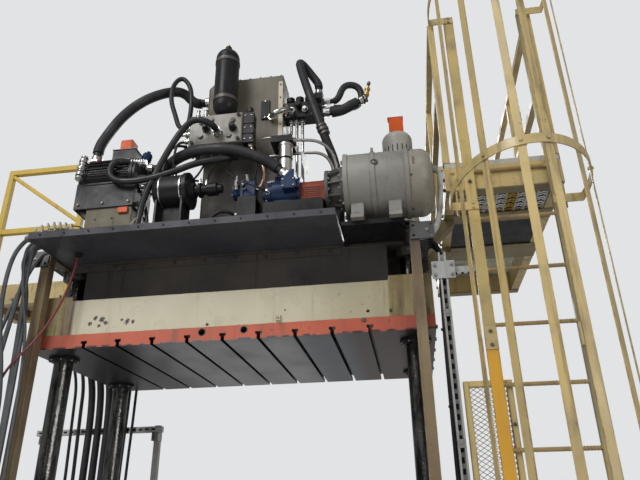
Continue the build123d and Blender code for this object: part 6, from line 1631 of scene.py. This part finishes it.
class PRESS_OT_side_guard(Operator):
    """Tube frame with expanded metal beside the ladder"""

    bl_idname = "press.side_guard"
    bl_label = "Side guard"

    def execute(self, context):
        values = context.scene.press_side_guard
        (left, front, low), (right, rear, high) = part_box("side_guard")
        tube = 0.03
        frame_bars = [
            ((left, front, low), (left + tube, rear, high)),
            ((right - tube, front, low), (right, rear, high)),
            ((left + tube, front, low), (right - tube, rear, low + tube)),
            ((left + tube, front, high - tube), (right - tube, rear, high)),
            ((left + tube, front, 1.06), (right - tube, rear, 1.06 + tube)),
        ]
        plates("side_guard_frame", frame_bars, "yellow", 0.003, stands_for=("side_guard",))
        width, height = right - left - 2 * tube, high - low - 2 * tube
        cell_x, cell_z = width / values.across, height / values.tall
        start = np.array([left + tube, low + tube])
        column, row = np.meshgrid(np.arange(2 * values.across), np.arange(2 * values.tall), indexing="ij")
        column, row = column.ravel(), row.ravel()
        rising = (column + row) % 2 == 0
        a = start + np.column_stack([column * cell_x / 2, (row + ~rising) * cell_z / 2])
        b = start + np.column_stack([(column + 1) * cell_x / 2, (row + rising) * cell_z / 2])
        run = (b - a) / np.linalg.norm(b - a, axis=1, keepdims=True)
        side = np.column_stack([-run[:, 1], run[:, 0]]) * values.strand / 2
        middle = (front + rear) / 2
        flat = np.stack([a - side, b - side, b + side, a + side], 1)
        points = np.zeros((len(a), 8, 3))
        points[:, :4, 0], points[:, 4:, 0] = flat[..., 0], flat[..., 0]
        points[:, :4, 2], points[:, 4:, 2] = flat[..., 1], flat[..., 1]
        lean = np.where(rising, 0.0012, -0.0012)[:, None]
        points[:, :4, 1] = middle - 0.0016 + lean
        points[:, 4:, 1] = middle + 0.0016 + lean
        quads = np.array([[0, 1, 2, 3], [7, 6, 5, 4], [0, 4, 5, 1], [2, 6, 7, 3]])
        faces = (quads[None] + 8 * np.arange(len(a))[:, None, None]).reshape(-1, 4)
        piece("expanded_metal", (points.reshape(-1, 3), [faces]), "olive", stands_for=("side_guard",))
        bolts("side_guard_bolts", spread(right - 0.015, front, (0.25, 1.075, 1.95)), FRONT, 0.014)
        return {"FINISHED"}


# Hoses, tubes, conduits and cables, in millimetres. Each row: first port and its direction, middle
# points, last port and its direction, diameter.

SLOPE = (-1, 0, 1)
OIL_ROWS = (
    ((-898, -640, 3655), UP, ((-868, -620, 3886), (-799, -590, 4054), (-683, -550, 4204), (-545, -500, 4298),
     (-440, -440, 4338)), (-232, -400, 4245), LEFT, 56),
    ((-268, -630, 3870), LEFT,
     ((-412, -600, 4010), (-472, -570, 4170), (-476, -545, 4320), (-425, -520, 4402),
     (-362, -515, 4320), (-340, -520, 4200), (-335, -530, 4040)), (-268, -530, 3870), LEFT, 32),
    ((-490, -790, 3010), UP, ((-470, -788, 3285), (-428, -778, 3430), (-362, -775, 3600), (-280, -785, 3745),
     (-190, -810, 3812)), (-75, -690, 3765), FRONT, 40),
    ((-545, -640, 3575), RIGHT, ((-330, -690, 3612), (-180, -745, 3616), (3, -765, 3597), (130, -765, 3552),
     (235, -760, 3500)), (385, -740, 3375), SLOPE, 55),
    ((530, -400, 4195), UP, ((500, -396, 4360), (425, -420, 4475), (405, -490, 4440), (440, -522, 4290),
     (482, -525, 4130), (535, -520, 3950), (580, -505, 3780), (640, -440, 3620), (652, -400, 3400)),
     (650, -388, 3040), UP, 44),
    ((560, -375, 4166), RIGHT, ((700, -370, 4300), (795, -350, 4300), (828, -345, 4205), (785, -346, 4112)),
     (560, -375, 4105), RIGHT, 34),
    ((560, -415, 4044), RIGHT, ((735, -420, 4070),), (850, -425, 4118), (-0.93, 0, -0.37), 44),
)
RACK_HOSES = (-1410, -1340, -1270, -1200)
RISERS = (338, 376, 414)
STEEL_ROWS = (
    ((391, -600, 3720), RIGHT, ((560, -590, 3705), (640, -560, 3620), (655, -500, 3480), (620, -478, 3300)),
     (600, -478, 3040), UP, 20),
    ((200, -480, 3675), FRONT, ((242, -511, 3674), (440, -508, 3680), (560, -510, 3668), (622, -498, 3590),
     (628, -458, 3480), (592, -442, 3300)), (568, -440, 3040), UP, 20),
    ((78, -560, 3745), RIGHT, ((200, -562, 3792),), (275, -570, 3745), UP, 12),
)
CHROME_ROW = ((225, -480, 3985), FRONT, ((290, -560, 3990),), (352, -450, 4040), FRONT, 38)
COPPER_ROW = ((172, -640, 3370), RIGHT, ((222, -640, 3450), (205, -640, 3550)), (125, -640, 3690), DOWN, 16)
CONDUIT_ROWS = (
    ((-1060, -800, 3025), LEFT, ((-1165, -790, 2940), (-1150, -770, 2850), (-1110, -750, 2650),
     (-1103, -747, 1500)), (-1105, -745, 0), UP, 30),
    ((-1060, -900, 3020), LEFT, ((-1170, -895, 2900), (-1180, -880, 2600), (-1150, -800, 2300),
     (-1147, -750, 2000)), (-1147, -748, 0), UP, 24),
)
THIN_CONDUITS = (
    ((-1060, -700, 3018), LEFT,
     ((-1118, -715, 2990), (-1172, -730, 2850), (-1285, -745, 2420), (-1360, -745, 1700)),
     (-1362, -742, 0), UP, 22),
    ((-1060, -780, 3020), LEFT,
     ((-1112, -785, 2988), (-1144, -778, 2850), (-1210, -762, 2400), (-1272, -750, 1700)),
     (-1275, -745, 0), UP, 26),
    ((-1060, -815, 3022), LEFT,
     ((-1106, -810, 2980), (-1120, -795, 2830), (-1122, -762, 2500), (-1110, -738, 1500)),
     (-1108, -738, 0), UP, 24),
    ((-1060, -850, 3022), LEFT,
     ((-1130, -845, 2960), (-1120, -800, 2720), (-1075, -735, 2450), (-1067, -722, 1500)),
     (-1068, -722, 0), UP, 17),
)
WHITE_ROW = ((1215, -640, 3395), RIGHT, ((1262, -640, 3300), (1245, -645, 3130), (1215, -655, 3010)),
             (1112.5, -667.5, 2955), RIGHT, 32)
RED_ROW = ((-880, -700, 3000), DOWN, ((-905, -705, 2780), (-960, -710, 2620), (-1035, -745, 2450),
           (-1105, -775, 2360), (-1175, -775, 2240), (-1215, -765, 2050), (-1222, -752, 1700)),
           (-1225, -750, 0), UP, 14)


def routed(row, fitting=0.0, widen=0.0):
    """Control points and diameter of a run: a straight lead of 1.5 diameters leaves each port."""
    first, out, middle, last, back, diameter = row
    out, back = np.array(out) / np.linalg.norm(out), np.array(back) / np.linalg.norm(back)
    start = np.array(first) / 1000 + out * fitting
    end = np.array(last) / 1000 + back * fitting
    lead = 1.5 * diameter / 1000
    inner = np.array(middle, float).reshape(-1, 3) / 1000
    points = np.vstack([start, start + out * lead, inner, end + back * lead, end])
    return points, diameter / 1000 + widen


def shortened(run, share):
    """The same run with both ends drawn in along their leads by a share of the lead."""
    points, diameter = run
    points = points.copy()
    points[0] += share * (points[1] - points[0])
    points[-1] += share * (points[-2] - points[-1])
    return points, diameter


def ties(name, points, radius, material, width=0.012, thickness=0.0018):
    """Bands round an upright hose at the given points."""
    outer = radius + thickness
    section = [(radius, 0), (outer, 0.001), (outer, width - 0.001), (radius, width)]
    return piece(name, copies(loop_turned(section, 28), facing(points, UP)), material)


class PressHoses(PropertyGroup):
    fitting: FloatProperty(name="Fitting", description="Length of a crimped fitting", default=0.045,
                           unit="LENGTH")
    sleeve: FloatProperty(name="Sleeve", description="Diameter added by a guard sleeve", default=0.013,
                          unit="LENGTH")


class PRESS_OT_hoses(Operator):
    """Oil hoses, guard sleeves, pipes, conduits and cables on smooth curves"""

    bl_idname = "press.hoses"
    bl_label = "Hoses and cables"

    def execute(self, context):
        values = context.scene.press_hoses
        rows = list(OIL_ROWS)
        for x in RACK_HOSES:
            middle = ((x - 10, 520, 2720), (x + 5, 628, 2520), (x, 678, 2300), (x, 683, 2000))
            rows.append(((x, 479.5, 3000), DOWN, middle, (x, 686, 340), UP, 38))
        tube_run("oil_hose", [routed(row, values.fitting) for row in rows], "hose", stands_for=("oil_hoses",))
        covered = [shortened(routed(OIL_ROWS[n], values.fitting, values.sleeve), 0.45) for n in (0, 3, 4, 5)]
        covered.append(shortened(routed(OIL_ROWS[6], values.fitting, 2 * values.sleeve), 0.2))
        for row in rows[len(OIL_ROWS):]:
            covered.append(shortened(routed(row, values.fitting, values.sleeve), 0.3))
        tube_run("hose_sleeve", covered, "sleeve")
        turns = np.linspace(0, 7 * tau, 169)
        share = turns / (7 * tau)
        arc = 3.056 + 0.03 * np.sin(pi * share)
        corner = np.column_stack([-1.048 + 0.25 * share, -0.908 + 0.018 * np.cos(turns),
                                  arc + 0.018 * np.sin(turns)])
        piece("corner_coil", swept(corner, circle(0.0055, 10)), "white", crease=80)
        thin = []
        for x, diameter in ((-1485, 26), (-1545, 22)):
            middle = ((x - 20, 530, 2740), (x + 15, 618, 2540), (x - 10, 672, 2300), (x + 6, 680, 1700),
                      (x, 672, 900))
            thin.append(((x, 470, 3000), DOWN, middle, (x, 682, 340), UP, diameter))
        for x, diameter in ((-1130, 28), (-1075, 20)):
            middle = ((x, 610, 3020), (x - 6, 684, 2960), (x + 8, 686, 2500), (x - 8, 682, 1700),
                      (x, 684, 900))
            thin.append(((x, 500, 3020), BACK, middle, (x, 682, 340), UP, diameter))
        tube_run("rack_cable", [routed(row) for row in thin], "cable")
        steel = ("steel_tubes",)
        tube_run("oil_pipe", [routed(row) for row in STEEL_ROWS], "steel", stands_for=steel)
        tube_run("chrome_pipe", [routed(CHROME_ROW)], "bright", stands_for=steel)
        tube_run("copper_pipe", [routed(COPPER_ROW)], "copper", stands_for=steel)
        risers = [((x, -400, 4010), DOWN, ((x, -392, 3500),), (x, -400, 3040), UP, 22) for x in RISERS]
        tube_run("riser_pipe", [routed(row) for row in risers], "bright", stands_for=steel)
        tube_run("conduit", [routed(row) for row in CONDUIT_ROWS], "grey_conduit", stands_for=("conduits",))
        tube_run("thin_conduit", [routed(row) for row in THIN_CONDUITS], "grey_conduit")
        tube_run("white_conduit", [routed(WHITE_ROW)], "conduit", stands_for=("conduits",))
        black = []
        for n in range(3):
            middle = ((1240 + 6 * n, -485 + 25 * n, 2900), (1200 + 18 * n, -560, 2700))
            black.append(((1170, -460 + 35 * n, 3020), RIGHT, middle, (1185 + 24 * n, -575, 40), UP, 22))
        tube_run("supply_cable", [routed(row) for row in black], "cable", stands_for=("cables",))
        tube_run("red_cable", [routed(RED_ROW)], "red_cable", stands_for=("cables",))

        nut = hex_head(0.03, 0.02)
        ends = [((0.391, -0.6, 3.72), RIGHT), ((0.2, -0.48, 3.675), FRONT), ((0.078, -0.56, 3.745), RIGHT),
                ((0.172, -0.64, 3.37), RIGHT), ((0.125, -0.64, 3.69), DOWN)]
        ends += [((0.001 * x, -0.4, 4.01), DOWN) for x in RISERS]
        ends += [((0.001 * x, -0.4, 3.04), UP) for x in RISERS]
        ends += [((0.6, -0.478, 3.04), UP), ((0.568, -0.44, 3.04), UP)]
        placed("pipe_nuts", nut, ends, "bright")
        ring = loop_turned([(0.0195, 0), (0.027, 0.001), (0.027, 0.018), (0.0195, 0.019)], 6)
        places = [facing([(0.225, -0.499, 3.985)], FRONT), facing([(0.352, -0.472, 4.04)], FRONT)]
        piece("chrome_pipe_nuts", copies(ring, np.vstack(places)), "bright")
        glands = stack([(0.021, 0.008), (0.018, 0.012), (0.0145, 0.01)])
        starts = [((1.17, -0.46 + 0.035 * n, 3.02), RIGHT) for n in range(3)] + [((-0.88, -0.7, 3.0), DOWN)]
        placed("cable_glands", glands, starts, "black")
        wide = stack([(0.024, 0.01), (0.021, 0.014), (0.018, 0.01)])
        starts = [((-1.06, -0.8, 3.025), LEFT), ((-1.06, -0.9, 3.02), LEFT)]
        placed("conduit_glands", wide, starts, "dull_steel")
        lies = [(0.001 * x, 0.6835, z) for x in RACK_HOSES for z in (1.7, 1.25, 0.8)]
        ties("hose_ties", lies, 0.0192, "black")
        rack_clamps = [((0.001 * x - 0.024, 0.681, 2.168), (0.001 * x + 0.024, 0.7085, 2.193))
                       for x in RACK_HOSES]
        plates("rack_clamps", rack_clamps, "bright", 0.003)
        bundle = []
        for level in (2.45, 2.05, 1.65, 1.25, 0.85, 0.45):
            share = (2.7 - level) / 2.66
            middle = (1.218 - 0.009 * share, -0.56 - 0.015 * share)
            half = 0.018 + 0.006 * share + 0.0125
            outline = rounded(2 * half, 0.0255, 0.0115, 5)
            bundle.append(moved(banded(outline, 0.0015, 0.009), shift(*middle, level)))
        piece("cable_ties", joined(*bundle), "black")
        return {"FINISHED"}


PILOT_ROWS = (
    ((-200, -645, 3664), DOWN, ((-205, -700, 3560), (-290, -720, 3520)), (-312, -735, 3437), UP, 15),
    ((-130, -645, 3664), DOWN, ((-128, -690, 3600), (-170, -700, 3480), (-215, -700, 3430)),
     (-150, -735, 3381), UP, 13),
    ((-60, -645, 3664), DOWN, ((-50, -690, 3560), (-100, -700, 3500)), (-110, -735, 3365), UP, 13),
    ((10, -645, 3664), DOWN, ((30, -700, 3560), (-15, -700, 3480)), (60, -690, 3400), (0.2, -0.4, 1), 13),
    ((-268, -660, 3745), LEFT, ((-345, -672, 3735), (-352, -690, 3640)), (-330, -735, 3437), UP, 16),
    ((-268, -600, 3745), LEFT, ((-380, -640, 3745), (-402, -700, 3620)), (-392, -735, 3433), UP, 18),
    ((110, -690, 3350), (0, -1, 0.4), ((150, -770, 3340), (215, -775, 3300)), (262, -715, 3290), FRONT, 14),
    ((78, -520, 3790), RIGHT, ((118, -530, 3770), (150, -540, 3640), (140, -560, 3520)), (150, -600, 3410),
     UP, 14),
    ((-120, -700, 3010), UP, ((-115, -705, 3120), (-40, -720, 3190), (20, -700, 3200)), (75, -660, 3190),
     LEFT, 20),
    ((-560, -700, 3300), RIGHT, ((-500, -720, 3300), (-450, -760, 3180)), (-425, -790, 3010), UP, 22),
    ((-545, -700, 3420), RIGHT, ((-490, -715, 3430), (-450, -740, 3400)), (-425, -735, 3380), LEFT, 20),
)


LOOP_ROW = ((-600, -745, 3575), (-1, -0.35, 0), ((-690, -800, 3550), (-708, -805, 3478), (-668, -805, 3416),
            (-570, -800, 3400), (-440, -795, 3412), (-300, -785, 3452), (-170, -782, 3500), (-50, -765, 3520),
            (45, -720, 3560)), (40, -640, 3664), DOWN, 40)
SENSOR_ROWS = (
    ((-845, -700, 3150), LEFT, ((-880, -780, 3150), (-905, -860, 3080)), (-930, -915, 3040), UP, 9),
    ((-560, -715, 3130), RIGHT, ((-520, -760, 3160), (-450, -860, 3130)), (-470, -912, 3040), UP, 9),
)


class PressPilots(PropertyGroup):
    collar: FloatProperty(name="Collar", description="Fitting radius per hose radius", default=1.35)


class PRESS_OT_pilots(Operator):
    """Thin pilot and drain hoses among the pumps, with a bright crimped end at each port"""

    bl_idname = "press.pilots"
    bl_label = "Pilot hoses"

    def execute(self, context):
        collar = context.scene.press_pilots.collar
        tube_run("pilot_hose", [routed(row) for row in PILOT_ROWS], "hose")
        tube_run("return_loop", [routed(LOOP_ROW)], "hose")
        tube_run("sensor_cable", [routed(row) for row in SENSOR_ROWS], "pale_cable")
        ends = []
        for first, out, _, last, back, diameter in PILOT_ROWS:
            radius = diameter / 2000
            shape = joined(
                hex_head(2.6 * radius, 0.012),
                moved(stack([(collar * radius, 0.016), (1.15 * radius, 0.01)], 20),
                      facing([(0, 0, 0.01)])[0]),
            )
            ends.append(copies(shape, facing([np.array(first) / 1000], out)))
            ends.append(copies(shape, facing([np.array(last) / 1000], back)))
        piece("pilot_ends", joined(*ends), "bright")
        tee = stack([(0.014, 0.012), (0.01, 0.016), (0.014, 0.014), (0.008, 0.02)])
        fitted("manifold_drains", tee, [(-0.246, -0.64, 3.69), (0.04, -0.64, 3.69)], DOWN, "bright")
        return {"FINISHED"}


# Stage.


class PressStage(PropertyGroup):
    place: FloatVectorProperty(
        name="Place", description="Camera point", default=(1.0, -3.7365, 1.5426), unit="LENGTH"
    )
    pitch: FloatProperty(name="Pitch", description="Angle above level, degrees", default=24.91)
    yaw: FloatProperty(name="Yaw", description="Turn to the left of straight ahead, degrees", default=8.17)
    roll: FloatProperty(name="Roll", description="Turn about the line of sight, degrees", default=-0.91)
    lens: FloatProperty(name="Lens", description="Focal length on a 36 mm frame", default=34.03)


class PRESS_OT_stage(Operator):
    """Camera at the photograph's angle, a pale floor, a pale backdrop colour and soft lights"""

    bl_idname = "press.stage"
    bl_label = "Stage"

    def execute(self, context):
        view = context.scene.press_stage
        lens = bpy.data.cameras.new("camera")
        lens.lens = view.lens
        lens.sensor_width = 36.0
        lens.clip_end = 100.0
        camera = bpy.data.objects.new("camera", lens)
        turn = Matrix.Rotation(radians(view.yaw), 4, "Z") @ Matrix.Rotation(radians(90 + view.pitch), 4, "X")
        turn = turn @ Matrix.Rotation(radians(view.roll), 4, "Z")
        camera.matrix_world = Matrix.Translation(view.place) @ turn
        context.scene.collection.objects.link(camera)
        context.scene.camera = camera

        reach = 40.0
        corners = np.array([[-reach, -reach, 0], [reach, -reach, 0], [reach, reach, 0], [-reach, reach, 0]])
        floor_mesh = bpy.data.meshes.new("floor")
        floor_mesh.from_pydata(corners.tolist(), [], [(0, 1, 2, 3)])
        floor_mesh.materials.append(MATERIALS["floor"])
        floor = bpy.data.objects.new("floor", floor_mesh)
        context.scene.collection.objects.link(floor)

        for name, place, aim, size, power in (
            ("key", (-3.5, -7.0, 7.5), (0, 0, 3.0), 4.0, 310.0),
            ("fill", (6.5, -6.0, 4.0), (0.5, 0, 3.0), 5.0, 150.0),
            ("back", (1.0, 7.0, 7.0), (0, 0, 3.0), 5.0, 260.0),
            ("low", (-1.5, -4.5, 0.6), (0, 0, 2.4), 3.0, 16.0),
        ):
            lamp = bpy.data.lights.new(name, "AREA")
            lamp.energy = power
            lamp.shape = "DISK"
            lamp.size = size
            light = bpy.data.objects.new(name, lamp)
            light.location = place
            light.rotation_euler = (Vector(aim) - Vector(place)).to_track_quat("-Z", "Y").to_euler()
            context.scene.collection.objects.link(light)

        lamp = bpy.data.lights.new("sky", "SUN")
        lamp.energy = 0.75
        lamp.angle = radians(30)
        light = bpy.data.objects.new("sky", lamp)
        light.rotation_euler = Vector((3.5, 7.0, -9.0)).to_track_quat("-Z", "Y").to_euler()
        context.scene.collection.objects.link(light)

        world = bpy.data.worlds.new("studio")
        world.use_nodes = True
        tree = world.node_tree
        tree.nodes.clear()
        output = tree.nodes.new("ShaderNodeOutputWorld")
        mix = tree.nodes.new("ShaderNodeMixShader")
        path = tree.nodes.new("ShaderNodeLightPath")
        ambient = tree.nodes.new("ShaderNodeBackground")
        ambient.inputs["Color"].default_value = (0.95, 0.97, 1.0, 1.0)
        ambient.inputs["Strength"].default_value = 0.27
        shown = tree.nodes.new("ShaderNodeBackground")
        shown.inputs["Color"].default_value = (0.8, 0.81, 0.82, 1.0)
        shown.inputs["Strength"].default_value = 0.95
        tree.links.new(path.outputs["Is Camera Ray"], mix.inputs[0])
        tree.links.new(ambient.outputs[0], mix.inputs[1])
        tree.links.new(shown.outputs[0], mix.inputs[2])
        tree.links.new(mix.outputs[0], output.inputs["Surface"])
        context.scene.world = world
        context.scene.view_settings.view_transform = "Standard"
        return {"FINISHED"}


class PRESS_PT_panel(Panel):
    """Sidebar with one button for each group and the numbers that drive it"""

    bl_idname = "PRESS_PT_panel"
    bl_label = "Hydraulic press"
    bl_space_type = "VIEW_3D"
    bl_region_type = "UI"
    bl_category = "Press"

    def draw(self, context):
        for operator, _ in STEPS:
            box = self.layout.box()
            box.operator(operator.bl_idname)
            values = getattr(context.scene, settings_name(operator))
            for name in values.__annotations__:
                box.prop(values, name)


STEPS = (
    (PRESS_OT_slide, PressSlide),
    (PRESS_OT_crown, PressCrown),
    (PRESS_OT_bed, PressBed),
    (PRESS_OT_motor, PressMotor),
    (PRESS_OT_pumps, PressPumps),
    (PRESS_OT_reservoir, PressReservoir),
    (PRESS_OT_valves, PressValves),
    (PRESS_OT_left_group, PressLeftGroup),
    (PRESS_OT_upright, PressUpright),
    (PRESS_OT_posts, PressPosts),
    (PRESS_OT_ladder, PressLadder),
    (PRESS_OT_platform, PressPlatform),
    (PRESS_OT_side_guard, PressSideGuard),
    (PRESS_OT_hoses, PressHoses),
    (PRESS_OT_pilots, PressPilots),
    (PRESS_OT_stage, PressStage),
)


def settings_name(operator):
    """Name in the scene of an operator's settings: press.slide keeps them under press_slide."""
    return operator.bl_idname.replace(".", "_")


def register():
    for operator, settings in STEPS:
        bpy.utils.register_class(settings)
        setattr(bpy.types.Scene, settings_name(operator), PointerProperty(type=settings))
        bpy.utils.register_class(operator)
    bpy.utils.register_class(PRESS_PT_panel)


def unregister():
    bpy.utils.unregister_class(PRESS_PT_panel)
    for operator, settings in reversed(STEPS):
        bpy.utils.unregister_class(operator)
        delattr(bpy.types.Scene, settings_name(operator))
        bpy.utils.unregister_class(settings)


def main():
    """Dresses the nodes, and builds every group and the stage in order."""
    register()
    dress_nodes()
    for operator, _ in STEPS:
        getattr(bpy.ops.press, operator.bl_idname.removeprefix("press."))()


if __name__ == "__main__":
    main()
